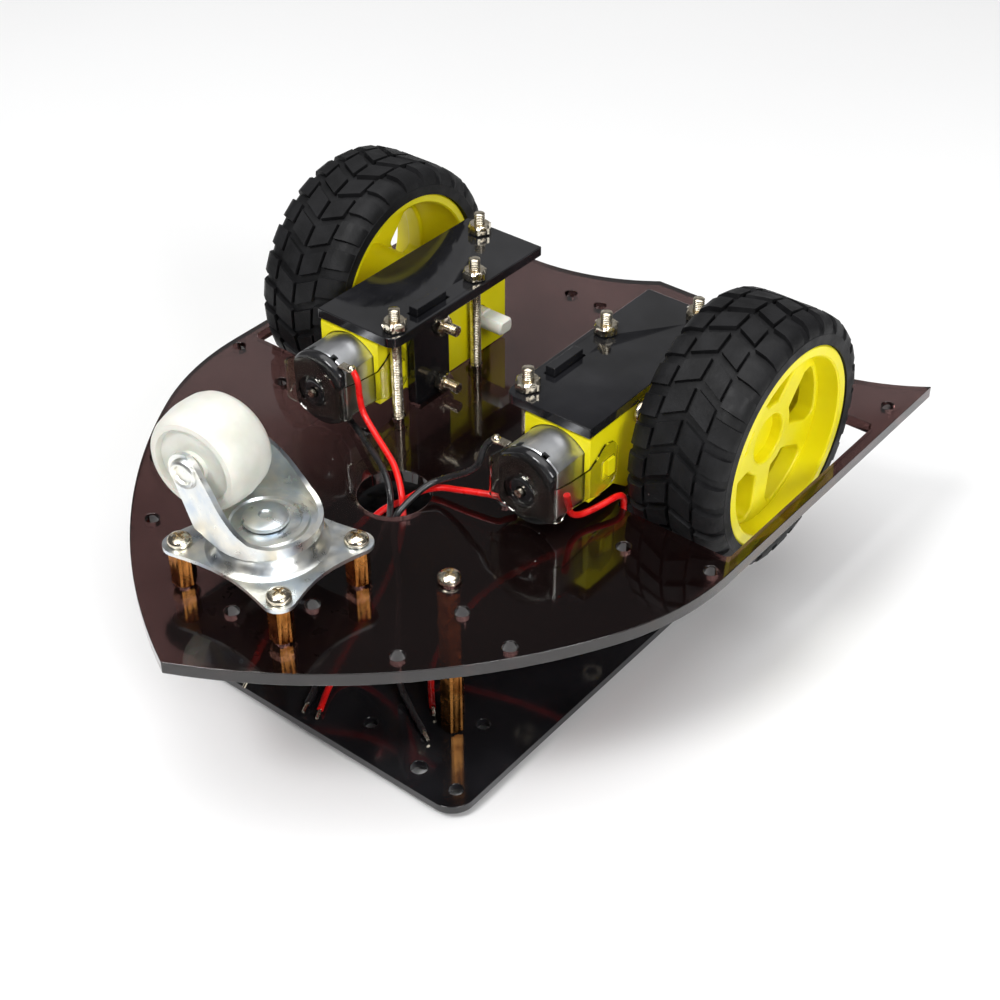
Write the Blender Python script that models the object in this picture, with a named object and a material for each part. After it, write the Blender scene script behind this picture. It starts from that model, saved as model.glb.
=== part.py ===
"""Two wheel robot car: a shield-shaped acrylic deck with two gear motors, two wheels, a swivel
caster and a smaller plate hung under it on four posts.

It stands the way it is displayed, turned over: the small plate is at the bottom, and the wheels and
the caster point up. Lengths are in millimetres until a mesh is made. X runs from the left wheel to
the right wheel, Y from the pointed nose to the tail, Z up. In the layout below, y = 0 is the wheel
axle and z = 0 is the upper face of the deck.
"""

import math

import bmesh
import bpy
from mathutils import Vector

MM = 0.001
GAP = 0.3  # clearance between two pieces that touch
HALF = GAP / 2

# Deck
NOSE_Y = -134.9
TAIL_Y = 59.6
DECK_HALF_WIDTH = 78.2
DECK_T = 3.6
CUSP_X = 6.4
TAIL_ARC_R = 58.9
WIRE_HOLE_Y = -59.9
WIRE_HOLE_R = 9.0
SLOT_X = (43.8, 75.2)
SLOT_Y = (-31.0, 35.5)

# Lower plate and the stack of heights
PLATE_T = 2.5
PLATE_HALF_WIDTH = 49.4
PLATE_Y = (-97.8, 36.1)
POST_LENGTH = 42.0
HEAD_H = 2.0
DECK_TOP = HEAD_H + PLATE_T + POST_LENGTH + DECK_T
AXLE_Y = -(NOSE_Y + TAIL_Y) / 2
PLATE_TOP = -DECK_T - POST_LENGTH
PLATE_BOTTOM = PLATE_TOP - PLATE_T
NOSE_POST = (30.8, -76.4)
TAIL_POST = (34.4, 14.7)

# Gear motors
GEAR_H = 22.5
GEAR_X = (22.8, 41.6)
GEAR_MID_X = sum(GEAR_X) / 2
GEAR_Y = (-39.0, 10.8)
WALL = 1.5
AXLE_Z = GEAR_H / 2
CAN_R = 10.0
CAN_FLAT = 7.6
CAN_Y = (-48.8, -27.2)
CAP_Y = (-51.2, -49.1)
ROTOR_END_Y = -53.6
SHAFT_R = 2.7
SHAFT_X = (13.7, 55.0)
GEAR_BOLT_Y = -19.8
GEAR_BOLT_RISE = 8.5
IDLER_Y = -13.5
STRAP_T = 0.5
STRAP_Z = (5.4, 17.1)
STRAP_Y = (-53.2, -29.3)

# Covers, brackets and clamp bolts
COVER_T = 3.0
COVER_X = (16.95, 41.8)
COVER_Y = (-39.6, 18.8)
BRACKET_X = (19.8, 22.5)
BRACKET_Y = (-28.9, -15.7)
TAB_Y = (-27.4, -16.3)
TAB_RISE = 1.9  # how far a bracket's tab stands above its cover
BRACKET_SLOT_Y = (-28.0, -14.2)
CLAMP_BOLTS = ((20.5, -35.0), (20.5, -4.3), TAIL_POST)

# Wheels
TYRE_R = 32.5
TYRE_X = (45.5, 71.3)
RIM_R = 25.4

# Fasteners
SHANK_R = 1.45
THREAD_ROOT_R = 1.3
HOLE_R = 1.75
HEAD_R = 2.8
NUT_H = 2.4
NUT_R = 3.17

# Caster
CASTER_Y = -101.2
FLANGE_BOLTS = (15.1, 12.15)
CASTER_POST = 10.0
FLANGE_T = 1.1
BOWL_Z = 16.0
BOWL_R = 13.2
TRAIL = 13.0
CASTER_AXLE_Z = 31.2
CASTER_WHEEL_R = 12.5
CASTER_TURN = math.radians(9.0)
FORK_INNER = 7.9
FORK_T = 1.2

# Wires, given as the points that each one passes through
WIRE_R = 0.8
WIRES = {
    "wire_red_left": (
        (-22.6, -48.8, 19.9), (-21.4, -48.9, 19.1), (-20.4, -49.0, 17.0), (-20.2, -48.9, 13.0),
        (-19.1, -49.1, 9.0), (-14.0, -50.8, 6.0), (-9.2, -52.7, 4.5), (-5.0, -54.5, 3.2),
        (-1.6, -56.7, 2.0), (0.8, -58.5, 0.6), (2.3, -59.8, -1.2), (2.9, -60.4, -4.4),
        (2.9, -60.6, -9.0), (2.2, -62.2, -17.0), (0.4, -66.0, -27.0), (-2.4, -73.0, -37.4),
        (-2.0, -80.5, -42.6), (-0.2, -86.7, -44.2), (2.9, -92.8, -44.6),
    ),
    "wire_black_left": (
        (-27.5, -45.4, 0.95), (-24.6, -46.9, 1.5), (-19.7, -49.7, 2.5), (-13.7, -53.1, 3.0),
        (-7.9, -56.0, 2.8), (-3.3, -58.8, 2.1), (-0.5, -60.9, 0.6), (0.6, -62.1, -1.8),
        (0.7, -62.8, -5.0), (-0.2, -63.5, -10.0), (-2.8, -65.4, -18.5), (-6.0, -69.7, -29.0),
        (-7.4, -76.4, -38.2), (-5.4, -83.0, -42.9), (-2.9, -88.6, -44.4), (-0.9, -93.3, -44.6),
    ),
    "wire_black_right": (
        (22.6, -49.4, 19.9), (21.4, -49.9, 19.1), (20.2, -50.8, 17.0), (19.4, -52.0, 12.9),
        (17.0, -52.6, 10.0), (14.1, -52.6, 7.7), (9.0, -53.6, 4.3), (7.2, -56.0, 3.3),
        (6.3, -59.5, 2.1), (5.5, -62.5, 0.4), (5.0, -64.8, -1.4), (4.9, -65.6, -5.0),
        (5.2, -66.4, -9.0), (7.8, -68.2, -20.0), (9.8, -71.6, -32.0), (13.2, -75.6, -41.2),
        (19.4, -78.9, -44.2), (27.2, -83.0, -44.6),
    ),
    "wire_red_right": (
        (27.0, -47.8, 1.35), (25.0, -48.6, 2.4), (23.0, -49.4, 3.6), (18.7, -50.7, 3.3),
        (13.7, -52.1, 2.6), (9.4, -53.2, 1.9), (6.7, -54.7, 1.2), (4.7, -56.0, 0.2),
        (2.3, -57.4, -1.9), (0.1, -59.3, -3.5), (-1.9, -61.3, -4.8), (-4.0, -63.4, -7.4),
        (-7.4, -69.0, -13.0), (-10.8, -80.0, -21.6), (-13.6, -91.0, -31.0), (-15.2, -98.2, -40.6),
    ),
    "wire_red_spare": (
        (40.9, -47.0, 11.2), (40.9, -46.0, 7.2), (40.9, -44.6, 4.2), (41.6, -41.8, 2.7),
        (43.2, -37.0, 2.9), (44.7, -31.8, 3.4), (45.1, -29.9, 2.0), (45.1, -29.7, -1.8),
        (45.1, -29.7, -5.6), (43.6, -30.3, -9.0), (36.0, -33.6, -15.5), (26.4, -40.6, -22.5), (18.9, -49.4, -29.5),
        (15.6, -59.4, -37.6),
        (16.9, -67.6, -42.6), (21.6, -73.4, -44.4), (23.4, -75.2, -44.6),
    ),
}


# ------------------------------------------------------------------ materials and objects

MATERIALS = {
    "smoked_acrylic": ((0.055, 0.022, 0.018), 0.08, 0.0),
    "black_acrylic": ((0.012, 0.012, 0.014), 0.08, 0.0),
    "brass": ((0.62, 0.36, 0.10), 0.25, 1.0),
    "nickel_steel": ((0.72, 0.68, 0.58), 0.22, 1.0),
    "zinc_plate": ((0.78, 0.81, 0.84), 0.18, 1.0),
    "motor_steel": ((0.42, 0.43, 0.44), 0.38, 1.0),
    "yellow_plastic": ((0.80, 0.72, 0.03), 0.35, 0.0),
    "white_nylon": ((0.85, 0.85, 0.82), 0.35, 0.0),
    "black_plastic": ((0.015, 0.015, 0.016), 0.35, 0.0),
    "clear_plastic": ((0.80, 0.80, 0.76), 0.10, 0.0),
    "tyre_rubber": ((0.014, 0.014, 0.014), 0.65, 0.0),
    "wire_red": ((0.75, 0.01, 0.01), 0.35, 0.0),
    "wire_black": ((0.012, 0.012, 0.012), 0.35, 0.0),
}


def material(name):
    """The named Principled material, made on first use."""
    found = bpy.data.materials.get(name)
    if found:
        return found
    colour, roughness, metallic = MATERIALS[name]
    made = bpy.data.materials.new(name)
    made.use_nodes = True
    shader = made.node_tree.nodes["Principled BSDF"]
    shader.inputs["Base Color"].default_value = (*colour, 1.0)
    shader.inputs["Roughness"].default_value = roughness
    shader.inputs["Metallic"].default_value = metallic
    return made


def world(x, y, z):
    """A layout point in millimetres as a world point in metres."""
    return Vector((x, y + AXLE_Y, z + DECK_TOP)) * MM


def pivot(name, x, y, z, turn=0.0):
    """An empty on a joint's axis, turned about Z."""
    empty = bpy.data.objects.new(name, None)
    empty.location = world(x, y, z)
    empty.rotation_euler = (0.0, 0.0, turn)
    bpy.context.collection.objects.link(empty)
    return empty


def add(name, shape, material_name, at=(0.0, 0.0, 0.0), parent=None, smooth=True, cutter=False):
    """Turn a bmesh in millimetres into an object. With a parent, at is measured from it."""
    bmesh.ops.scale(shape, vec=(MM, MM, MM), verts=shape.verts)
    bmesh.ops.recalc_face_normals(shape, faces=shape.faces)
    mesh = bpy.data.meshes.new(name)
    shape.to_mesh(mesh)
    shape.free()
    if smooth:
        mesh.shade_smooth()
        mesh.set_sharp_from_angle(angle=math.radians(35.0))
    if material_name:
        mesh.materials.append(material(material_name))
    piece = bpy.data.objects.new(name, mesh)
    bpy.context.collection.objects.link(piece)
    if parent:
        piece.parent = parent
        piece.location = Vector(at) * MM
    else:
        piece.location = world(*at)
    if cutter:
        piece.hide_render = True
        piece.display_type = "WIRE"
    return piece


def combine(target, operation, name, shape):
    """Cut a shape from the target piece, or unite it, with a Boolean that stays on the piece."""
    other = add(name, shape, None, cutter=True)
    other.parent = target.parent
    other.location = target.location
    step = target.modifiers.new(name, "BOOLEAN")
    step.operation = operation
    step.solver = "EXACT"
    step.object = other


# ------------------------------------------------------------------ outlines and solids

def circle(x, y, radius, points=12):
    """Points round a circle."""
    turn = 2 * math.pi / points
    return [(x + radius * math.cos(i * turn), y + radius * math.sin(i * turn)) for i in range(points)]


def arc(x, y, radius, start, end, points):
    """Points along an arc, angles in degrees, both ends included."""
    angles = [math.radians(start + (end - start) * i / (points - 1)) for i in range(points)]
    return [(x + radius * math.cos(a), y + radius * math.sin(a)) for a in angles]


def box_outline(x_range, y_range, radius=0.0, points=4):
    """A rectangle, with rounded corners where a radius is given."""
    (x0, x1), (y0, y1) = x_range, y_range
    if not radius:
        return [(x0, y0), (x1, y0), (x1, y1), (x0, y1)]
    corners = ((x1 - radius, y1 - radius, 0), (x0 + radius, y1 - radius, 90),
               (x0 + radius, y0 + radius, 180), (x1 - radius, y0 + radius, 270))
    return [p for x, y, a in corners for p in arc(x, y, radius, a, a + 90, points)]


def along(shape, axis):
    """Stand a shape that was built along Z on the X or the Y axis instead."""
    for vert in shape.verts:
        x, y, z = vert.co
        vert.co = {"X": (z, x, y), "Y": (y, z, x), "Z": (x, y, z)}[axis]
    return shape


def mirrored(shape, side):
    """The shape itself on the right side (+1), or its mirror image on the left side (-1)."""
    if side < 0:
        bmesh.ops.scale(shape, vec=(-1, 1, 1), verts=shape.verts)
    return shape


def prism(outline, low, high, holes=(), axis="Z"):
    """An outline with holes, extruded from low to high along an axis.

    Along X the outline is drawn in (y, z), along Y in (z, x).
    """
    shape = bmesh.new()
    edges = []
    for loop in (outline, *holes):
        verts = [shape.verts.new((x, y, low)) for x, y in loop]
        edges += [shape.edges.new((a, b)) for a, b in zip(verts, verts[1:] + verts[:1])]
    bmesh.ops.triangle_fill(shape, use_beauty=True, use_dissolve=False, edges=edges)
    grown = bmesh.ops.extrude_face_region(shape, geom=list(shape.faces))
    raised = [item for item in grown["geom"] if isinstance(item, bmesh.types.BMVert)]
    bmesh.ops.translate(shape, vec=(0, 0, high - low), verts=raised)
    return along(shape, axis)


def loft(rings, closed=False, axis="Z"):
    """Skin rings of equal point count: capped at both ends, or closed into a tube."""
    shape = bmesh.new()
    rows = [[shape.verts.new(point) for point in ring] for ring in rings]
    pairs = list(zip(rows, rows[1:]))
    if closed:
        pairs.append((rows[-1], rows[0]))
    for low, high in pairs:
        count = len(low)
        for i in range(count):
            j = (i + 1) % count
            shape.faces.new((low[i], low[j], high[j], high[i]))
    if not closed:
        shape.faces.new(rows[0])
        shape.faces.new(rows[-1])
    return along(shape, axis)


def ring(height, radius, points=12, kind="round"):
    """One ring of a loft: round, hex (its corners at the radius), teeth, or flats."""
    result = []
    for i in range(points):
        angle = 2 * math.pi * i / points
        reach = radius
        if kind == "hex":
            from_flat = (angle + math.pi / 6) % (math.pi / 3) - math.pi / 6
            reach = radius * math.cos(math.pi / 6) / math.cos(math.pi / 6 - abs(from_flat))
        if kind == "teeth" and i % 2:
            reach = radius - 1.2
        result.append((reach * math.cos(angle), reach * math.sin(angle), height))
    return result


def turned(profile, points=24, closed=False, axis="Z"):
    """A round solid from (radius, height) pairs."""
    return loft([ring(height, radius, points) for radius, height in profile], closed, axis)


def both_sides():
    """The two sides of the car, as (suffix, sign)."""
    return (("left", -1), ("right", 1))


# ------------------------------------------------------------------ plates

def deck_outline():
    """The shield: two tangent arcs and a straight run on each side, two hollow arcs at the tail."""
    start, turn, end = math.radians(25.6), math.radians(62.0), math.radians(90.0)
    big, small = 156.0, 68.0
    side = []
    for i in range(12):
        heading = start + (turn - start) * i / 11
        side.append((big * (math.sin(heading) - math.sin(start)),
                     NOSE_Y + big * (math.cos(start) - math.cos(heading))))
    x0, y0 = side[-1]
    for i in range(1, 7):
        heading = turn + (end - turn) * i / 6
        side.append((x0 + small * (math.sin(heading) - math.sin(turn)),
                     y0 + small * (math.cos(turn) - math.cos(heading))))
    side.append((DECK_HALF_WIDTH, TAIL_Y))
    middle = (DECK_HALF_WIDTH + CUSP_X) / 2
    half_chord = (DECK_HALF_WIDTH - CUSP_X) / 2
    swing = math.degrees(math.asin(half_chord / TAIL_ARC_R))
    centre_y = TAIL_Y + TAIL_ARC_R * math.cos(math.radians(swing))
    side += arc(middle, centre_y, TAIL_ARC_R, 270 + swing, 270 - swing, 13)[1:]
    return side + [(-x, y) for x, y in reversed(side[1:])]


def pairs(*places):
    """Each place and its mirror image."""
    return [(sign * x, y) for x, y in places for sign in (1, -1)]


def make_deck():
    holes = pairs((38.0, -102.2), (54.2, -42.4), (74.6, -37.2), (73.7, 45.1), (54.9, -85.1),
                  (39.7, -82.7), (21.7, 38.8), (11.7, 38.7), (22.7, -46.0), (12.4, -101.2),
                  NOSE_POST, *CLAMP_BOLTS)
    holes += [(x, CASTER_Y + y) for x, y in pairs(FLANGE_BOLTS, (FLANGE_BOLTS[0], -FLANGE_BOLTS[1]))]
    holes += [(0.0, CASTER_Y - 12.6), (0.0, CASTER_Y + 12.6)]
    loops = [circle(x, y, HOLE_R, 8) for x, y in holes]
    loops.append(circle(0.0, WIRE_HOLE_Y, WIRE_HOLE_R, 24))
    for _, sign in both_sides():
        slot_x = sorted(sign * x for x in SLOT_X)
        loops.append(box_outline(slot_x, SLOT_Y, 1.5, 3))
        tab_x = sorted(sign * x for x in (BRACKET_X[0] - 0.4, BRACKET_X[1] + 0.4))
        loops.append(box_outline(tab_x, BRACKET_SLOT_Y))
    add("deck", prism(deck_outline(), -DECK_T + HALF, -HALF, loops), "smoked_acrylic")


def make_lower_plate():
    holes = pairs(NOSE_POST, TAIL_POST, (44.3, -91.6), (35.9, -71.2), (14.5, -87.6))
    loops = [circle(x, y, HOLE_R, 8) for x, y in holes]
    loops += [circle(x, y, 2.1, 8) for x, y in pairs((33.1, -91.6), (40.0, 26.0))]
    outline = box_outline((-PLATE_HALF_WIDTH, PLATE_HALF_WIDTH), PLATE_Y, 6.0, 5)
    add("lower_plate", prism(outline, PLATE_BOTTOM + HALF, PLATE_TOP - HALF, loops), "black_acrylic")


def make_posts():
    for end, (x, y) in (("nose", NOSE_POST), ("tail", TAIL_POST)):
        for side, sign in both_sides():
            low, high = PLATE_TOP + HALF, -DECK_T - HALF
            rings = [ring(low, 3.0, kind="hex"), ring(high, 3.0, kind="hex"),
                     ring(high, HOLE_R), ring(low, HOLE_R)]
            at = (sign * x, y, 0.0)
            add(f"post_{end}_{side}", loft(rings, closed=True), "brass", at)
            foot = PLATE_BOTTOM - HALF
            screw = [(HEAD_R * 0.75, foot - HEAD_H + HALF), (HEAD_R, foot - HEAD_H + 0.9),
                     (HEAD_R, foot), (SHANK_R, foot), (SHANK_R, foot + 10.0)]
            add(f"plate_screw_{end}_{side}", turned(screw, 12), "nickel_steel", at)
            if end == "nose":
                screw = [(SHANK_R, -12.0), (SHANK_R, HALF), (HEAD_R, HALF),
                         (HEAD_R, HEAD_H - 0.7), (HEAD_R * 0.75, HEAD_H + HALF)]
                add(f"deck_screw_{side}", turned(screw, 12), "nickel_steel", at)


# ------------------------------------------------------------------ gear motors

def can_ring(height, radius, flat, points=24):
    """A round ring with two flats across X, in the plane of an axis along Y."""
    return [(z, max(-flat, min(flat, x)), height) for z, x, _ in ring(height, radius, points)]


def make_gearbox(name, sign):
    """The yellow housing, split down its middle into two shells that hold the gears and the can."""
    for half, outer_face, wall_side in (("inner", GEAR_X[0], 1), ("outer", GEAR_X[1], -1)):
        low, high = sorted((outer_face, GEAR_MID_X - wall_side * HALF))
        body = prism(box_outline(GEAR_Y, (HALF, GEAR_H - HALF), 1.5, 3), low, high, axis="X")
        shell = add(f"gearbox_{half}_{name}", mirrored(body, sign), "yellow_plastic")
        reach = (outer_face + wall_side * WALL, GEAR_MID_X + wall_side * 2.0)
        inside = prism(box_outline((-25.0, GEAR_Y[1] - WALL), (WALL, GEAR_H - WALL)),
                       min(reach), max(reach), axis="X")
        combine(shell, "DIFFERENCE", f"chamber_{half}_{name}", mirrored(inside, sign))
        pocket = loft([[(z, x + GEAR_MID_X, y) for z, x, _ in can_ring(0, CAN_R + GAP, CAN_FLAT + GAP)]
                       for y in (GEAR_Y[0] - 2.0, -26.6)], axis="Y")
        combine(shell, "DIFFERENCE", f"pocket_{half}_{name}", mirrored_y_loft(pocket, sign))
        neck = turned([(2.2, -28.0), (2.2, -24.0)], 12, axis="Y")
        bmesh.ops.translate(neck, vec=(GEAR_MID_X, 0, AXLE_Z), verts=neck.verts)
        combine(shell, "DIFFERENCE", f"neck_{half}_{name}", mirrored(neck, sign))
        across = (GEAR_X[0] - 3.0, GEAR_X[1] + 3.0)
        for tag, y, z, radius in (("bore", 0.0, AXLE_Z, SHAFT_R + 0.3),
                                  ("bolt_low", GEAR_BOLT_Y, AXLE_Z - GEAR_BOLT_RISE, HOLE_R),
                                  ("bolt_high", GEAR_BOLT_Y, AXLE_Z + GEAR_BOLT_RISE, HOLE_R)):
            hole = prism(circle(y, z, radius, 12), *across, axis="X")
            combine(shell, "DIFFERENCE", f"{tag}_{half}_{name}", mirrored(hole, sign))
        lug_x = sorted((outer_face + wall_side * 0.6, outer_face - wall_side * 1.2))
        lug = prism(box_outline((-33.2, -30.6), (9.0, 13.5)), *lug_x, axis="X")
        combine(shell, "UNION", f"lug_{half}_{name}", mirrored(lug, sign))


def mirrored_y_loft(shape, sign):
    """Centre a motor pocket on the motor's height, then mirror it to its side."""
    bmesh.ops.translate(shape, vec=(0, 0, AXLE_Z), verts=shape.verts)
    return mirrored(shape, sign)


def make_motor(name, sign):
    """The steel can with two flats, its black end cap, the rotor and the clear retaining strap."""
    at = (sign * GEAR_MID_X, 0.0, AXLE_Z)
    back, front = CAN_Y
    can = [can_ring(back, CAN_R, CAN_FLAT), can_ring(front, CAN_R, CAN_FLAT),
           can_ring(front, 1.9, 1.9), can_ring(front - 0.9, 1.9, 1.9),
           can_ring(front - 0.9, CAN_R - 0.9, CAN_FLAT - 0.9), can_ring(back, CAN_R - 0.9, CAN_FLAT - 0.9)]
    add(f"motor_can_{name}", loft(can, closed=True, axis="Y"), "motor_steel", at)
    back, front = CAP_Y
    cap = [can_ring(front, CAN_R, CAN_FLAT), can_ring(back + 0.6, CAN_R - 0.5, CAN_FLAT),
           can_ring(back, CAN_R - 1.6, CAN_FLAT - 0.4), can_ring(back, 3.6, 3.6),
           can_ring(back - 1.2, 3.2, 3.2), can_ring(back - 1.2, 1.4, 1.4), can_ring(front, 1.4, 1.4)]
    add(f"motor_cap_{name}", loft(cap, closed=True, axis="Y"), "black_plastic", at)
    spin = pivot(f"rotor_axis_{name}", *at)
    rotor = [(1.0, ROTOR_END_Y), (1.0, -47.4), (5.8, -47.4), (5.8, -31.4), (1.0, -31.4),
             (1.0, -22.6), (1.7, -22.6), (1.7, -18.6)]
    add(f"rotor_{name}", turned(rotor, 12, axis="Y"), "nickel_steel", parent=spin)
    inside = (GEAR_X[0] - 0.25, GEAR_X[1] + 0.4)
    outside = (inside[0] - STRAP_T, inside[1] + STRAP_T)
    (x0, x1), (u0, u1) = outside, inside
    back, front = STRAP_Y
    bend = 2.5
    outline = ([(x1, front), (u1, front), (u1, back + STRAP_T + bend), (u1 - bend, back + STRAP_T),
                (u0 + bend, back + STRAP_T), (u0, back + STRAP_T + bend), (u0, front), (x0, front),
                (x0, back + bend), (x0 + bend, back), (x1 - bend, back), (x1, back + bend)])
    strap = add(f"motor_strap_{name}", mirrored(prism(outline, *STRAP_Z), sign), "clear_plastic",
                smooth=False)
    window = prism(box_outline((-35.2, -30.1), (8.5, 14.0)), x0 - 1.0, x1 + 1.0, axis="X")
    combine(strap, "DIFFERENCE", f"window_{name}", mirrored(window, sign))
    eye = turned([(4.0, back - 2.0), (4.0, back + 4.0)], 16, axis="Y")
    bmesh.ops.translate(eye, vec=(GEAR_MID_X, 0, AXLE_Z), verts=eye.verts)
    combine(strap, "DIFFERENCE", f"eye_{name}", mirrored(eye, sign))


def make_gears(name, sign, wheel_axis):
    """The output shaft with its gear, and the crown gear that the rotor's pinion drives."""
    inner, outer = SHAFT_X
    shaft = [ring(inner, 1.9, 24), ring(inner + 0.8, SHAFT_R, 24), ring(25.0, SHAFT_R, 24),
             ring(25.0, 9.0, 24, "teeth"), ring(28.6, 9.0, 24, "teeth"), ring(28.6, SHAFT_R, 24),
             ring(outer - 0.8, SHAFT_R, 24), ring(outer, 1.9, 24)]
    add(f"output_shaft_{name}", mirrored(loft(shaft, axis="X"), sign), "white_nylon",
        parent=wheel_axis)
    crown_axis = pivot(f"crown_axis_{name}", 0.0, IDLER_Y, AXLE_Z)
    crown = [ring(24.7, 1.2, 24), ring(25.2, 1.2, 24), ring(25.2, 3.9, 24, "teeth"),
             ring(34.6, 3.9, 24, "teeth"), ring(34.6, 8.6, 24, "teeth"), ring(36.8, 8.6, 24, "teeth"),
             ring(36.8, 1.2, 24), ring(39.6, 1.2, 24)]
    add(f"crown_gear_{name}", mirrored(loft(crown, axis="X"), sign), "white_nylon",
        parent=crown_axis)


# ------------------------------------------------------------------ covers, brackets and bolts

def make_cover(name, sign):
    low, high = GEAR_H + HALF, GEAR_H + COVER_T - HALF
    loops = [circle(x, y, HOLE_R, 8) for x, y in CLAMP_BOLTS]
    loops.append(box_outline((BRACKET_X[0] - 0.4, 24.6), BRACKET_SLOT_Y))
    (x0, x1), (y0, y1) = COVER_X, COVER_Y
    outline = [(x1, y0), (x1, y1), (x0, y1)] + arc(x0 + 3.0, y0 + 3.0, 3.0, 180, 270, 5)
    add(f"cover_{name}", mirrored(prism(outline, low, high, loops), sign), "black_acrylic")


def make_bracket(name, sign):
    """An upright plate against the gearbox: one tab through the deck, one through the cover."""
    (y0, y1), (t0, t1) = BRACKET_Y, TAB_Y
    low, high = HALF, GEAR_H - HALF
    foot, head = -DECK_T + 0.6, GEAR_H + COVER_T + TAB_RISE
    outline = [(t0, foot), (t1, foot), (t1, low), (y1, low), (y1, high), (t1, high),
               (t1, head), (t0, head), (t0, high), (y0, high), (y0, low), (t0, low)]
    holes = [circle(GEAR_BOLT_Y, AXLE_Z + rise, HOLE_R, 10) for rise in (-GEAR_BOLT_RISE, GEAR_BOLT_RISE)]
    plate = prism(outline, *BRACKET_X, holes, axis="X")
    add(f"bracket_{name}", mirrored(plate, sign), "black_acrylic", smooth=False)


def make_clamp_bolts(name, sign):
    """Three long screws clamp the cover to the deck. The tail one runs on down into its post."""
    nut_low = GEAR_H + COVER_T + HALF
    top = nut_low + NUT_H + 3.0
    for tag, (x, y) in zip(("nose", "middle", "tail"), CLAMP_BOLTS):
        if tag == "tail":
            stem = [ring(-12.0, SHANK_R)]
        else:
            under = -DECK_T - HALF
            stem = [ring(under - HEAD_H, HEAD_R * 0.75), ring(under - HEAD_H + 0.7, HEAD_R),
                    ring(under, HEAD_R), ring(under, SHANK_R)]
        if tag == "tail":
            stem.append(ring(nut_low, SHANK_R))
        else:
            stem += [ring(HALF, SHANK_R), ring(HALF, THREAD_ROOT_R), ring(nut_low, THREAD_ROOT_R)]
        stem += [ring(nut_low, NUT_R, kind="hex"),
                 ring(nut_low + NUT_H, NUT_R, kind="hex"), ring(nut_low + NUT_H, SHANK_R),
                 ring(top, SHANK_R)]
        add(f"clamp_bolt_{tag}_{name}", loft(stem), "nickel_steel", (sign * x, y, 0.0))


def make_gearbox_bolts(name, sign):
    """Two screws pass through each gearbox and bracket, with the nut on the inner side."""
    head, nut = GEAR_X[1] + GAP, BRACKET_X[0] - GAP
    for tag, rise in (("low", -GEAR_BOLT_RISE), ("high", GEAR_BOLT_RISE)):
        rings = [ring(13.3, SHANK_R), ring(nut - NUT_H, SHANK_R), ring(nut - NUT_H, 2.85, kind="hex"),
                 ring(nut, 2.85, kind="hex"), ring(nut, SHANK_R), ring(head, SHANK_R),
                 ring(head, 2.6), ring(head + 1.3, 2.6), ring(head + 1.9, 1.9)]
        add(f"gearbox_bolt_{tag}_{name}", mirrored(loft(rings, axis="X"), sign), "nickel_steel",
            (0.0, GEAR_BOLT_Y, AXLE_Z + rise))


# ------------------------------------------------------------------ wheels

def make_wheel(name, sign):
    """A yellow spoked rim pressed on the output shaft, and a rubber tyre round it."""
    axis = pivot(f"wheel_axis_{name}", 0.0, 0.0, AXLE_Z)
    inner, outer = TYRE_X
    barrel = [(RIM_R, inner + 1.0), (RIM_R, outer - 0.2), (RIM_R - 2.0, outer - 0.2),
              (RIM_R - 2.4, inner + 1.0)]
    rim = add(f"rim_{name}", mirrored(turned(barrel, 32, True, "X"), sign), "yellow_plastic",
              parent=axis)
    windows = []
    for i in range(5):
        middle = 36 + 72 * i
        windows.append(arc(0, 0, 20.6, middle - 24, middle + 24, 5)
                       + arc(0, 0, 10.0, middle + 15, middle - 15, 3))
    web = prism(circle(0, 0, RIM_R - 1.2, 32), 60.4, 64.4,
                windows + [circle(0, 0, SHAFT_R + 0.3, 12)], axis="X")
    combine(rim, "UNION", f"web_{name}", mirrored(web, sign))
    hub = turned([(6.8, 48.0), (6.8, 66.4), (SHAFT_R + 0.3, 66.4), (SHAFT_R + 0.3, 48.0)],
                 16, True, "X")
    combine(rim, "UNION", f"hub_{name}", mirrored(hub, sign))
    bead = RIM_R + GAP
    tread = [(bead, inner), (29.6, inner), (31.2, inner + 1.0), (32.2, inner + 3.4),
             (TYRE_R, inner + 8.0), (TYRE_R, outer - 8.0), (32.2, outer - 3.4), (31.2, outer - 1.0),
             (29.6, outer), (bead, outer)]
    add(f"tyre_{name}", mirrored(turned(tread, 40, True, "X"), sign), "tyre_rubber", parent=axis)
    return axis


# ------------------------------------------------------------------ caster

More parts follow.
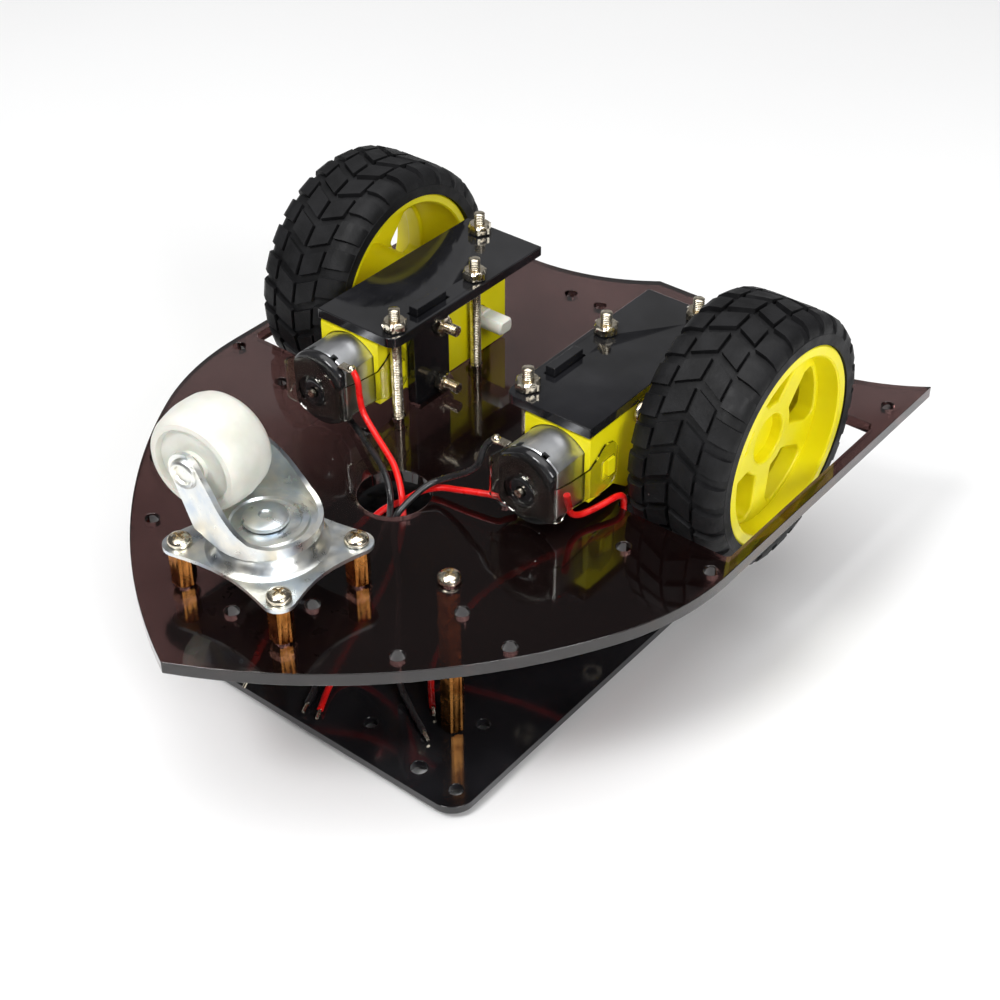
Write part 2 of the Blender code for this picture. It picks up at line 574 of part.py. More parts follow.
def make_caster():
    flange_low = CASTER_POST + HALF
    flange_high = CASTER_POST + FLANGE_T
    bolt_x, bolt_y = FLANGE_BOLTS
    corners = ((bolt_x, -bolt_y), (bolt_x, bolt_y), (-bolt_x, bolt_y), (-bolt_x, -bolt_y))
    outline = []
    for i, (x, y) in enumerate(corners):
        outline += arc(x, y, 3.9, -100 + 90 * i, 10 + 90 * i, 6)
        end_x, end_y = outline[-1]
        next_x, next_y = corners[(i + 1) % 4]
        pull = 0.86
        outline.append((((end_x + next_x) / 2) * (pull if i % 2 == 0 else 1.0),
                        ((end_y + next_y) / 2) * (pull if i % 2 else 1.0)))
    flange = add("caster_flange",
                 prism(outline, flange_low, flange_high, [circle(x, y, HOLE_R, 8) for x, y in corners]
                       + [circle(0, 0, 9.0, 24)]),
                 "zinc_plate", (0.0, CASTER_Y, 0.0))
    dome = [(12.6, flange_high - 0.5), (11.6, 14.2), (9.6, 15.6), (3.4, 15.6), (3.4, 14.6), (8.8, 14.6),
            (10.0, 13.4), (10.6, flange_high - 0.5)]
    combine(flange, "UNION", "caster_race", turned(dome, 24, True))
    for tag, (x, y) in zip(("front_right", "rear_right", "rear_left", "front_left"), corners):
        nut = -DECK_T - HALF
        rings = [ring(nut - NUT_H - 0.8, SHANK_R), ring(nut - NUT_H, SHANK_R),
                 ring(nut - NUT_H, NUT_R, kind="hex"), ring(nut, NUT_R, kind="hex"),
                 ring(nut, SHANK_R), ring(HALF, SHANK_R),
                 ring(HALF, 2.9, kind="hex"), ring(CASTER_POST - HALF, 2.9, kind="hex"),
                 ring(CASTER_POST - HALF, SHANK_R), ring(flange_high + GAP, SHANK_R),
                 ring(flange_high + GAP, HEAD_R), ring(flange_high + 1.5, HEAD_R),
                 ring(flange_high + 2.1, 2.0)]
        add(f"caster_post_{tag}", loft(rings), "brass", (x, CASTER_Y + y, 0.0))

    swivel = pivot("caster_swivel_axis", 0.0, CASTER_Y, 0.0, CASTER_TURN)
    bowl = [(3.4, BOWL_Z), (BOWL_R - 1.0, BOWL_Z), (BOWL_R, BOWL_Z + 1.0), (BOWL_R, BOWL_Z + 2.3),
            (BOWL_R - 1.1, BOWL_Z + 2.3), (BOWL_R - 1.6, BOWL_Z + 1.2), (3.4, BOWL_Z + 1.2)]
    fork = add("caster_fork", turned(bowl, 32, True), "zinc_plate", parent=swivel)
    head = arc(-TRAIL, CASTER_AXLE_Z, 4.6, 30, 215, 8)
    cheek = head + [(-12.6, BOWL_Z + 0.5), (-2.0, BOWL_Z + 0.5), (3.0, BOWL_Z + 2.4)]
    for tag, low in (("near", -FORK_INNER - FORK_T), ("far", FORK_INNER)):
        arm = prism([(z, x) for x, z in cheek], low, low + FORK_T,
                    [circle(CASTER_AXLE_Z, -TRAIL, 1.9, 12)], axis="Y")
        combine(fork, "UNION", f"caster_arm_{tag}", arm)
    pin = [(5.0, 13.6), (5.0, 14.3), (2.9, 14.3), (2.9, BOWL_Z + 1.6), (5.2, BOWL_Z + 1.6),
           (5.2, BOWL_Z + 2.6), (4.4, BOWL_Z + 3.0)]
    add("caster_kingpin", turned(pin, 20), "zinc_plate", (0.0, CASTER_Y, 0.0))
    roll = pivot("caster_wheel_axis", 0.0, 0.0, 0.0)
    roll.parent = swivel
    roll.location = Vector((-TRAIL, 0.0, CASTER_AXLE_Z)) * MM
    side = FORK_INNER + FORK_T + GAP
    axle = [(2.4, -side - 1.0), (3.2, -side - 0.4), (3.2, -side), (1.6, -side), (1.6, side), (3.2, side),
            (3.2, side + 0.4), (2.4, side + 1.0)]
    add("caster_axle", turned(axle, 16, axis="Y"), "zinc_plate", (-TRAIL, 0.0, CASTER_AXLE_Z), swivel)
    half = 7.2
    wheel = [(2.0, -half), (9.2, -half), (11.2, -half + 0.9), (12.2, -half + 2.8),
             (CASTER_WHEEL_R, 0.0), (12.2, half - 2.8), (11.2, half - 0.9), (9.2, half), (2.0, half)]
    add("caster_wheel", turned(wheel, 32, True, "Y"), "white_nylon", parent=roll)


# ------------------------------------------------------------------ wires

def smooth_points(knots, spacing):
    """Evenly spaced points along a Catmull-Rom curve through the knots."""
    knots = [Vector(k) for k in knots]
    ends = [2 * knots[0] - knots[1]] + knots + [2 * knots[-1] - knots[-2]]
    fine = []
    for a, b, c, d in zip(ends, ends[1:], ends[2:], ends[3:]):
        for i in range(20):
            t = i / 20
            fine.append(0.5 * (2 * b + (c - a) * t + (2 * a - 5 * b + 4 * c - d) * t ** 2
                               + (3 * b - 3 * c + d - a) * t ** 3))
    fine.append(knots[-1])
    length = sum((q - p).length for p, q in zip(fine, fine[1:]))
    step = length / round(length / spacing)
    points, walked = [fine[0]], 0.0
    for p, q in zip(fine, fine[1:]):
        run = (q - p).length
        while walked + run >= step * len(points) - 1e-6 and len(points) * step <= length + 1e-6:
            points.append(p.lerp(q, (step * len(points) - walked) / run))
        walked += run
    return points


def make_wires():
    for name, knots in WIRES.items():
        curve = bpy.data.curves.new(name, "CURVE")
        curve.dimensions = "3D"
        curve.bevel_depth = WIRE_R * MM
        curve.bevel_resolution = 2
        curve.use_fill_caps = True
        points = smooth_points(knots, 2.6 * 2 * WIRE_R)
        spline = curve.splines.new("POLY")
        spline.points.add(len(points) - 1)
        for target, point in zip(spline.points, points):
            target.co = (*world(*point), 1.0)
        curve.materials.append(material("wire_red" if "red" in name else "wire_black"))
        bpy.context.collection.objects.link(bpy.data.objects.new(name, curve))


# ------------------------------------------------------------------ the car

def build():
    for item in list(bpy.data.objects):
        bpy.data.objects.remove(item, do_unlink=True)
    make_deck()
    make_lower_plate()
    make_posts()
    for name, sign in both_sides():
        make_gearbox(name, sign)
        make_motor(name, sign)
        make_cover(name, sign)
        make_bracket(name, sign)
        make_clamp_bolts(name, sign)
        make_gearbox_bolts(name, sign)
        wheel_axis = make_wheel(name, sign)
        make_gears(name, sign, wheel_axis)
    make_caster()
    make_wires()


build()
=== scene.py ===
"""The look of the two wheel robot car: fine geometry, finishes, floor, light and camera.

Shapes are laid out in millimetres: y = 0 is the wheel axle, z = 0 is the upper face of the deck, X runs
from the left wheel to the right wheel, Y from the nose to the tail.
"""

import math

import bmesh
import bpy
from mathutils import Matrix, Vector

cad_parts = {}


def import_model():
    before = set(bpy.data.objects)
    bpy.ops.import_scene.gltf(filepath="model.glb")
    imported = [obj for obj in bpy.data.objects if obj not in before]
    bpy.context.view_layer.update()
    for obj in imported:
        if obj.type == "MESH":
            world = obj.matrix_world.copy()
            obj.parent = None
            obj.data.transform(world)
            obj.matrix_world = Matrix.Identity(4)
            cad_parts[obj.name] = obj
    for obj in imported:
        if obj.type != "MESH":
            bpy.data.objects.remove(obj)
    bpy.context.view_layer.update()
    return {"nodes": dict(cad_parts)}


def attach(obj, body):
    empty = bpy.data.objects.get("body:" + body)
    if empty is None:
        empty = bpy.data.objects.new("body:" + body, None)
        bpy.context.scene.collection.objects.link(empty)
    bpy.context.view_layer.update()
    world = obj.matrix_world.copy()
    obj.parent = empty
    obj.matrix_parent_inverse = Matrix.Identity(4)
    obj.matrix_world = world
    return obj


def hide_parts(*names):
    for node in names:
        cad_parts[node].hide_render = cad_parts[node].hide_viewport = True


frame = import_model()

MM = 0.001
AXLE_Y = 37.65
DECK_TOP = 50.1
HALF = 0.15  # half of the clearance between two pieces that touch

# Camera
CAMERA_AT = (0.23263, -0.27205, 0.31098)
CAMERA_AZIMUTH = 38.758
CAMERA_ELEVATION = 37.710
CAMERA_ROLL = -0.184
CAMERA_LENS = 65.1

# Plates
NOSE_Y = -134.9
TAIL_Y = 59.6
DECK_HALF_WIDTH = 78.2
DECK_T = 3.6
CUSP_X = 6.4
TAIL_ARC_R = 58.9
PLATE_T = 2.5
PLATE_HALF_WIDTH = 49.4
PLATE_Y = (-97.8, 36.1)
POST_LENGTH = 42.0
PLATE_TOP = -DECK_T - POST_LENGTH
PLATE_BOTTOM = PLATE_TOP - PLATE_T
NOSE_POST = (30.8, -76.4)
TAIL_POST = (34.4, 14.7)
WIRE_HOLE_Y = -59.9
WIRE_HOLE_R = 9.0
WHEEL_SLOT_X = (43.8, 75.2)
WHEEL_SLOT_Y = (-31.0, 35.5)
DECK_HOLES = ((38.0, -102.2), (54.2, -42.4), (74.6, -37.2), (73.7, 45.1), (54.9, -85.1),
              (39.7, -82.7), (21.7, 38.8), (11.7, 38.7), (22.7, -46.0), (12.4, -101.2))
PLATE_HOLES = ((44.3, -91.6), (35.9, -71.2), (14.5, -87.6))
PLATE_WIDE_HOLES = ((33.1, -91.6), (40.0, 26.0))
WIDE_HOLE_R = 2.1

# Gear motors
GEAR_H = 22.5
GEAR_X = (22.8, 41.6)
GEAR_MID_X = sum(GEAR_X) / 2
GEAR_Y = (-39.0, 10.8)
WALL = 1.5
AXLE_Z = GEAR_H / 2
CAN_R = 10.0
CAN_FLAT = 7.6
CAN_Y = (-48.8, -27.2)
CAP_Y = (-51.2, -49.1)
SHAFT_R = 2.7
SHAFT_FLAT = 1.85
SHAFT_X = (13.7, 55.0)
OUTPUT_GEAR_R = 9.0
OUTPUT_GEAR_X = (25.0, 28.6)
TOOTH_DEPTH = 1.2
BOLT_Y = -19.8
BOLT_RISE = 8.5
STRAP_T = 0.5
STRAP_Y = (-53.2, -29.3)
STRAP_DISC_R = 8.0
STRAP_DISC_Z = 13.0
STRAP_BAND_Z = (6.4, 16.0)

# Covers, brackets and screws
COVER_T = 3.0
COVER_X = (16.95, 41.8)
COVER_Y = (-39.6, 18.8)
BRACKET_X = (19.8, 22.5)
BRACKET_Y = (-28.9, -15.7)
BRACKET_SLOT_Y = (-28.0, -14.2)
TAB_Y = (-27.4, -16.3)
TAB_RISE = 1.9
CLAMP_BOLTS = ((20.5, -35.0), (20.5, -4.3), TAIL_POST)
THREAD_R = 1.45
THREAD_PITCH = 0.5
HOLE_R = 1.75
HEAD_R = 2.8
HEAD_H = 2.0
NUT_R = 3.25
NUT_H = 2.4

# Wheels
TYRE_R = 32.5
TYRE_X = (45.5, 71.3)
TREAD_DEPTH = 1.3
TREAD_COUNT = 26
RIM_R = 25.4
WEB_X = (60.4, 65.4)
SPOKE_COUNT = 5
# The first window between spokes stands at this angle. All angles are in degrees.
FIRST_WINDOW = 12.0
# Half angles of a window at its far and near ends, radii of these ends, and radius of its corners.
WINDOW = (27.0, 17.0, 20.8, 9.6, 2.6)
HUB_R = 7.4
BORE_R = 2.9

# Caster
CASTER_Y = -101.2
CASTER_TURN = math.radians(9.0)
FLANGE_BOLTS = (15.1, 12.15)
FLANGE_CORNER_R = 3.9
FLANGE_Z = (10.15, 11.1)
SPARE_HOLE_REACH = 12.6
BOWL_Z = 16.0
WALL_END_Z = 18.3
TRAIL = 13.0
CASTER_AXLE_Z = 31.2
FORK_Y = 9.1
FORK_T = 1.2
FORK_FRONT_R = 12.6
FORK_EYE_R = 4.6
ARM_START_X = -17.5
ARM_END_X = -9.8

# Leads, as the points that each one passes through
WIRE_R = 0.8
TIP_R = 0.45
TIP_LENGTH = 3.2
WIRES = {
    "wire_red_left": (
        (-22.6, -48.8, 19.9), (-21.4, -48.9, 19.1), (-20.4, -49.0, 17.0), (-20.2, -48.9, 13.0),
        (-19.1, -49.1, 9.0), (-14.0, -50.8, 6.0), (-9.2, -52.7, 4.5), (-5.0, -54.5, 3.2),
        (-1.6, -56.7, 2.0), (0.8, -58.5, 0.6), (2.3, -59.8, -1.2), (2.9, -60.4, -4.4),
        (2.9, -60.6, -9.0), (2.2, -62.2, -17.0), (0.4, -66.0, -27.0), (-2.4, -73.0, -37.4),
        (-2.0, -80.5, -42.6), (-0.2, -86.7, -44.2), (2.9, -92.8, -44.6),
    ),
    "wire_black_left": (
        (-27.5, -45.4, 0.95), (-24.6, -46.9, 1.5), (-19.7, -49.7, 2.5), (-13.7, -53.1, 3.0),
        (-7.9, -56.0, 2.8), (-3.3, -58.8, 2.1), (-0.5, -60.9, 0.6), (0.6, -62.1, -1.8),
        (0.7, -62.8, -5.0), (-0.2, -63.5, -10.0), (-2.8, -65.4, -18.5), (-6.0, -69.7, -29.0),
        (-7.4, -76.4, -38.2), (-5.4, -83.0, -42.9), (-2.9, -88.6, -44.4), (-0.9, -93.3, -44.6),
    ),
    "wire_black_right": (
        (22.6, -49.4, 19.9), (21.4, -49.9, 19.1), (20.2, -50.8, 17.0), (19.4, -52.0, 12.9),
        (17.0, -52.6, 10.0), (14.1, -52.6, 7.7), (9.0, -53.6, 4.3), (7.2, -56.0, 3.3),
        (6.3, -59.5, 2.1), (5.5, -62.5, 0.4), (5.0, -64.8, -1.4), (4.9, -65.6, -5.0),
        (5.2, -66.4, -9.0), (7.8, -68.2, -20.0), (9.8, -71.6, -32.0), (13.2, -75.6, -41.2),
        (19.4, -78.9, -44.2), (27.2, -83.0, -44.6),
    ),
    "wire_red_right": (
        (27.0, -47.8, 1.35), (25.0, -48.6, 2.4), (23.0, -49.4, 3.6), (18.7, -50.7, 3.3),
        (13.7, -52.1, 2.6), (9.4, -53.2, 1.9), (6.7, -54.7, 1.2), (4.7, -56.0, 0.2),
        (2.3, -57.4, -1.9), (0.1, -59.3, -3.5), (-1.9, -61.3, -4.8), (-4.0, -63.4, -7.4),
        (-7.4, -69.0, -13.0), (-10.8, -80.0, -21.6), (-13.6, -91.0, -31.0), (-15.2, -98.2, -40.6),
    ),
    "wire_red_spare": (
        (40.9, -47.0, 11.2), (40.9, -46.0, 7.2), (40.9, -44.6, 4.2), (41.6, -41.8, 2.7),
        (43.2, -37.0, 2.9), (44.7, -31.8, 3.4), (45.1, -29.9, 2.0), (45.1, -29.7, -1.8),
        (45.1, -29.7, -5.6), (43.6, -30.3, -9.0), (36.0, -33.6, -15.5), (26.4, -40.6, -22.5),
        (18.9, -49.4, -29.5), (15.6, -59.4, -37.6),
        (16.9, -67.6, -42.6), (21.6, -73.4, -44.4), (23.4, -75.2, -44.6),
    ),
}

# Finishes: low and high are the two colours of the mottling, spread is its noise scale, rough the range
# of roughness, and grain is the bump's noise scale, depth and stretch along X, Y and Z.
FINISHES = {
    "smoked_acrylic": dict(low=(0.072, 0.034, 0.032), high=(0.092, 0.046, 0.043), spread=40,
                           rough=(0.03, 0.10), grain=(160, 0.004, (1, 1, 1)),
                           set={"Transmission Weight": 0.96, "IOR": 1.49, "Coat Weight": 0.35,
                                "Coat Roughness": 0.04}),
    "black_acrylic": dict(low=(0.006, 0.006, 0.007), high=(0.013, 0.013, 0.015), spread=70,
                          rough=(0.05, 0.15), grain=(220, 0.004, (1, 1, 1)),
                          set={"Coat Weight": 0.3, "Coat Roughness": 0.05}),
    "brass": dict(low=(0.22, 0.075, 0.014), high=(0.46, 0.20, 0.05), spread=260, metallic=1.0,
                  rough=(0.16, 0.32), grain=(700, 0.005, (1, 1, 0.3)), set={}),
    "nickel_steel": dict(low=(0.58, 0.50, 0.38), high=(0.92, 0.85, 0.70), spread=500, metallic=1.0,
                         rough=(0.12, 0.30), grain=(1500, 0.02, (1, 1, 1)), set={}),
    "zinc_plate": dict(low=(0.60, 0.66, 0.72), high=(0.88, 0.86, 0.78), spread=150, metallic=1.0,
                       rough=(0.24, 0.42), grain=(260, 0.035, (1, 1, 1)), set={}),
    "motor_steel": dict(low=(0.50, 0.51, 0.53), high=(0.66, 0.67, 0.68), spread=110, metallic=1.0,
                        rough=(0.30, 0.46), grain=(700, 0.03, (1, 0.1, 1)), set={}),
    "yellow_plastic": dict(low=(0.82, 0.72, 0.004), high=(0.90, 0.80, 0.008), spread=60,
                           rough=(0.28, 0.46), grain=(1300, 0.035, (1, 1, 1)),
                           set={"Subsurface Weight": 0.05, "Subsurface Scale": 0.001,
                                "Specular IOR Level": 0.35}),
    "white_nylon": dict(low=(0.62, 0.62, 0.55), high=(0.72, 0.72, 0.66), spread=120,
                        rough=(0.28, 0.42), grain=(900, 0.02, (1, 1, 1)),
                        set={"Subsurface Weight": 0.25, "Subsurface Scale": 0.002}),
    "black_plastic": dict(low=(0.010, 0.010, 0.011), high=(0.020, 0.020, 0.021), spread=150,
                          rough=(0.10, 0.22), grain=(500, 0.02, (1, 1, 1)), set={}),
    "clear_plastic": dict(low=(0.90, 0.90, 0.80), high=(0.98, 0.98, 0.92), spread=80,
                          rough=(0.02, 0.08), grain=(300, 0.01, (1, 1, 1)),
                          set={"Transmission Weight": 1.0, "IOR": 1.46, "Specular IOR Level": 0.35}),
    "tyre_rubber": dict(low=(0.005, 0.005, 0.0055), high=(0.011, 0.011, 0.012), spread=180,
                        rough=(0.45, 0.65), grain=(1600, 0.06, (1, 1, 1)),
                        set={"Specular IOR Level": 0.2}),
    "wire_red": dict(low=(0.66, 0.004, 0.004), high=(0.86, 0.010, 0.008), spread=300,
                     rough=(0.24, 0.40), grain=(900, 0.02, (1, 1, 1)), set={}),
    "wire_black": dict(low=(0.009, 0.009, 0.010), high=(0.018, 0.018, 0.019), spread=300,
                       rough=(0.22, 0.38), grain=(900, 0.02, (1, 1, 1)), set={}),
    "floor": dict(low=(0.86, 0.86, 0.86), high=(0.88, 0.88, 0.88), spread=3,
                  rough=(0.55, 0.65), grain=(200, 0.004, (1, 1, 1)), set={}),
}


# ------------------------------------------------------------------ finishes and pieces

def noise(tree, where, scale, detail=4.0):
    """A noise texture read at the given coordinates."""
    texture = tree.nodes.new("ShaderNodeTexNoise")
    texture.inputs["Scale"].default_value = scale
    texture.inputs["Detail"].default_value = detail
    tree.links.new(where, texture.inputs["Vector"])
    return texture.outputs["Fac"]


def spread_to(tree, source, low, high):
    """Stretch the middle of a noise value to a range."""
    span = tree.nodes.new("ShaderNodeMapRange")
    span.inputs["From Min"].default_value = 0.3
    span.inputs["From Max"].default_value = 0.7
    span.inputs["To Min"].default_value = low
    span.inputs["To Max"].default_value = high
    tree.links.new(source, span.inputs["Value"])
    return span.outputs["Result"]


def finish(name):
    """The named finish, made on first use: mottled colour, uneven gloss and a fine grain."""
    made = bpy.data.materials.get("look_" + name)
    if made:
        return made
    spec = FINISHES[name]
    made = bpy.data.materials.new("look_" + name)
    made.use_nodes = True
    tree = made.node_tree
    shader = tree.nodes["Principled BSDF"]
    place = tree.nodes.new("ShaderNodeTexCoord").outputs["Object"]
    ramp = tree.nodes.new("ShaderNodeValToRGB")
    ramp.color_ramp.elements[0].position = 0.35
    ramp.color_ramp.elements[0].color = (*spec["low"], 1.0)
    ramp.color_ramp.elements[1].position = 0.65
    ramp.color_ramp.elements[1].color = (*spec["high"], 1.0)
    tree.links.new(noise(tree, place, spec["spread"]), ramp.inputs["Fac"])
    tree.links.new(ramp.outputs["Color"], shader.inputs["Base Color"])
    uneven = spread_to(tree, noise(tree, place, spec["spread"] * 1.7, 6.0), *spec["rough"])
    tree.links.new(uneven, shader.inputs["Roughness"])
    scale, depth, stretch = spec["grain"]
    stretched = tree.nodes.new("ShaderNodeMapping")
    stretched.inputs["Scale"].default_value = stretch
    tree.links.new(place, stretched.inputs["Vector"])
    bump = tree.nodes.new("ShaderNodeBump")
    bump.inputs["Strength"].default_value = 1.0
    bump.inputs["Distance"].default_value = depth * MM
    tree.links.new(noise(tree, stretched.outputs["Vector"], scale), bump.inputs["Height"])
    tree.links.new(bump.outputs["Normal"], shader.inputs["Normal"])
    shader.inputs["Metallic"].default_value = spec.get("metallic", 0.0)
    for socket, value in spec["set"].items():
        shader.inputs[socket].default_value = value
    return made


def world(x, y, z):
    """A layout point in millimetres as a point in the CAD frame, in metres."""
    return Vector((x, y + AXLE_Y, z + DECK_TOP)) * MM


def add(name, shape, look, body, replaced=(), at=(0.0, 0.0, 0.0), turn=0.0, bevel=0.0, angle=35.0):
    """Turn a bmesh in millimetres into a piece that rides on a body and stands for CAD nodes."""
    spin = Matrix.Rotation(turn, 4, "Z")
    for vert in shape.verts:
        vert.co = world(*(spin @ vert.co + Vector(at)))
    bmesh.ops.recalc_face_normals(shape, faces=shape.faces)
    mesh = bpy.data.meshes.new(name)
    shape.to_mesh(mesh)
    shape.free()
    mesh.shade_smooth()
    mesh.materials.append(finish(look))
    made = bpy.data.objects.new(name, mesh)
    bpy.context.collection.objects.link(made)
    if bevel:
        edge = made.modifiers.new("edge", "BEVEL")
        edge.width = bevel * MM
        edge.segments = 2
        edge.limit_method = "ANGLE"
        edge.angle_limit = math.radians(40.0)
        edge.harden_normals = True
    else:
        mesh.set_sharp_from_angle(angle=math.radians(angle))
    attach(made, body)
    if replaced:
        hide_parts(*replaced)
    return made


# ------------------------------------------------------------------ outlines and solids

def circle(x, y, radius, points=28):
    """Points round a circle."""
    turn = 2 * math.pi / points
    return [(x + radius * math.cos(i * turn), y + radius * math.sin(i * turn)) for i in range(points)]


def arc(x, y, radius, start, end, points):
    """Points along an arc, angles in degrees, both ends included."""
    angles = [math.radians(start + (end - start) * i / (points - 1)) for i in range(points)]
    return [(x + radius * math.cos(a), y + radius * math.sin(a)) for a in angles]


def box_outline(x_range, y_range, radius=0.0, points=8):
    """A rectangle, with rounded corners where a radius is given."""
    (x0, x1), (y0, y1) = x_range, y_range
    if not radius:
        return [(x0, y0), (x1, y0), (x1, y1), (x0, y1)]
    corners = ((x1 - radius, y1 - radius, 0), (x0 + radius, y1 - radius, 90),
               (x0 + radius, y0 + radius, 180), (x1 - radius, y0 + radius, 270))
    return [p for x, y, a in corners for p in arc(x, y, radius, a, a + 90, points)]


def along(shape, axis):
    """Stand a shape that was built along Z on the X or the Y axis instead."""
    for vert in shape.verts:
        x, y, z = vert.co
        vert.co = {"X": (z, x, y), "Y": (y, z, x), "Z": (x, y, z)}[axis]
    return shape


def mirrored(shape, side):
    """The shape itself on the right side (+1), or its mirror image on the left side (-1)."""
    if side < 0:
        bmesh.ops.scale(shape, vec=(-1, 1, 1), verts=shape.verts)
    return shape


def moved(shape, x, y, z):
    """The shape, shifted."""
    bmesh.ops.translate(shape, vec=(x, y, z), verts=shape.verts)
    return shape


def prism(outline, low, high, holes=(), axis="Z"):
    """An outline with holes, extruded along an axis: drawn in (y, z) along X, in (z, x) along Y."""
    shape = bmesh.new()
    edges = []
    for loop in (outline, *holes):
        verts = [shape.verts.new((x, y, low)) for x, y in loop]
        edges += [shape.edges.new((a, b)) for a, b in zip(verts, verts[1:] + verts[:1])]
    bmesh.ops.triangle_fill(shape, use_beauty=True, use_dissolve=False, edges=edges)
    grown = bmesh.ops.extrude_face_region(shape, geom=list(shape.faces))
    raised = [item for item in grown["geom"] if isinstance(item, bmesh.types.BMVert)]
    bmesh.ops.translate(shape, vec=(0, 0, high - low), verts=raised)
    return along(shape, axis)


def loft(rings, closed=False, axis="Z"):
    """Skin rings of equal point count: capped at both ends, or closed into a tube."""
    shape = bmesh.new()
    rows = [[shape.verts.new(point) for point in ring] for ring in rings]
    steps = list(zip(rows, rows[1:]))
    if closed:
        steps.append((rows[-1], rows[0]))
    for low, high in steps:
        count = len(low)
        for i in range(count):
            j = (i + 1) % count
            shape.faces.new((low[i], low[j], high[j], high[i]))
    if not closed:
        shape.faces.new(rows[0])
        shape.faces.new(rows[-1])
    return along(shape, axis)


def ring(height, radius, points=24, kind="round"):
    """One ring of a loft: round, hex (its corners at the radius), or teeth."""
    result = []
    for i in range(points):
        angle = 2 * math.pi * i / points
        reach = radius
        if kind == "hex":
            from_flat = (angle + math.pi / 6) % (math.pi / 3) - math.pi / 6
            reach = radius * math.cos(math.pi / 6) / math.cos(math.pi / 6 - abs(from_flat))
        if kind == "teeth" and i % 2:
            reach = radius - TOOTH_DEPTH
        result.append((reach * math.cos(angle), reach * math.sin(angle), height))
    return result


def turned(profile, points=48, closed=False, axis="Z"):
    """A round solid from (radius, height) pairs."""
    return loft([ring(height, radius, points) for radius, height in profile], closed, axis)


def merged(*shapes):
    """Several closed shells in one bmesh."""
    whole = bmesh.new()
    for shape in shapes:
        part = bpy.data.meshes.new("part")
        shape.to_mesh(part)
        shape.free()
        whole.from_mesh(part)
        bpy.data.meshes.remove(part)
    return whole


def carved(base, operation, *tools):
    """The base with each tool cut from it, or united with it."""
    for tool in tools:
        holders = []
        for shape in (base, tool):
            bmesh.ops.recalc_face_normals(shape, faces=shape.faces)
            mesh = bpy.data.meshes.new("work")
            shape.to_mesh(mesh)
            shape.free()
            holder = bpy.data.objects.new("work", mesh)
            bpy.context.collection.objects.link(holder)
            holders.append(holder)
        step = holders[0].modifiers.new("step", "BOOLEAN")
        step.operation = operation
        step.solver = "EXACT"
        step.object = holders[1]
        graph = bpy.context.evaluated_depsgraph_get()
        result = bpy.data.meshes.new_from_object(holders[0].evaluated_get(graph))
        base = bmesh.new()
        base.from_mesh(result)
        bpy.data.meshes.remove(result)
        for holder in holders:
            mesh = holder.data
            bpy.data.objects.remove(holder)
            bpy.data.meshes.remove(mesh)
    return base


def pairs(*places):
    """Each place and its mirror image."""
    return [(sign * x, y) for x, y in places for sign in (1, -1)]


def both_sides():
    """The two sides of the car, as (suffix, sign)."""
    return (("left", -1), ("right", 1))


# ------------------------------------------------------------------ camera and leads

def make_camera():
    """The photo's camera, aimed by its azimuth, elevation and roll."""
    azimuth, elevation, roll = map(math.radians, (CAMERA_AZIMUTH, CAMERA_ELEVATION, CAMERA_ROLL))
    forward = Vector((-math.sin(azimuth) * math.cos(elevation),
                      math.cos(azimuth) * math.cos(elevation), -math.sin(elevation)))
    right = forward.cross(Vector((0, 0, 1))).normalized()
    up = right.cross(forward)
    right_rolled = math.cos(roll) * right + math.sin(roll) * up
    up_rolled = -math.sin(roll) * right + math.cos(roll) * up
    facing = Matrix((right_rolled, up_rolled, -forward)).transposed().to_4x4()
    camera = bpy.data.objects.new("camera", bpy.data.cameras.new("camera"))
    camera.data.lens = CAMERA_LENS
    camera.data.sensor_width = 36.0
    camera.data.clip_start = 0.01
    camera.matrix_world = Matrix.Translation(CAMERA_AT) @ facing
    bpy.context.collection.objects.link(camera)
    bpy.context.scene.camera = camera


def smooth_points(knots, spacing):
    """Evenly spaced points along a Catmull-Rom curve through the knots."""
    knots = [Vector(k) for k in knots]
    ends = [2 * knots[0] - knots[1]] + knots + [2 * knots[-1] - knots[-2]]
    fine = []
    for a, b, c, d in zip(ends, ends[1:], ends[2:], ends[3:]):
        for i in range(20):
            t = i / 20
            fine.append(0.5 * (2 * b + (c - a) * t + (2 * a - 5 * b + 4 * c - d) * t ** 2
                               + (3 * b - 3 * c + d - a) * t ** 3))
    fine.append(knots[-1])
    length = sum((q - p).length for p, q in zip(fine, fine[1:]))
    step = length / round(length / spacing)
    points, walked = [fine[0]], 0.0
    for p, q in zip(fine, fine[1:]):
        run = (q - p).length
        while walked + run >= step * len(points) - 1e-6 and len(points) * step <= length + 1e-6:
            points.append(p.lerp(q, (step * len(points) - walked) / run))
        walked += run
    return points


def tube_curve(name, points, radius, look):
    """A round curve through layout points."""
    curve = bpy.data.curves.new(name, "CURVE")
    curve.dimensions = "3D"
    curve.bevel_depth = radius * MM
    curve.bevel_resolution = 5
    curve.use_fill_caps = True
    spline = curve.splines.new("POLY")
    spline.points.add(len(points) - 1)
    for target, point in zip(spline.points, points):
        target.co = (*world(*point), 1.0)
    spline.use_smooth = True
    curve.materials.append(finish(look))
    made = bpy.data.objects.new(name, curve)
    bpy.context.collection.objects.link(made)
    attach(made, "chassis")
    return made


def make_leads():
    """Five stranded leads from the motors to the lower plate, each with a bare tinned end."""
    for name, knots in WIRES.items():
        look = "wire_red" if "red" in name else "wire_black"
        points = smooth_points(knots, 0.9)
        lead = tube_curve("lead_" + name, points, WIRE_R, look)
        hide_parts(name)
        heading = (points[-1] - points[-2]).normalized()
        start = points[-1] - 0.4 * heading
        tip = tube_curve("tip_" + name, [start, start + TIP_LENGTH * heading], TIP_R, "nickel_steel")


# ------------------------------------------------------------------ plates

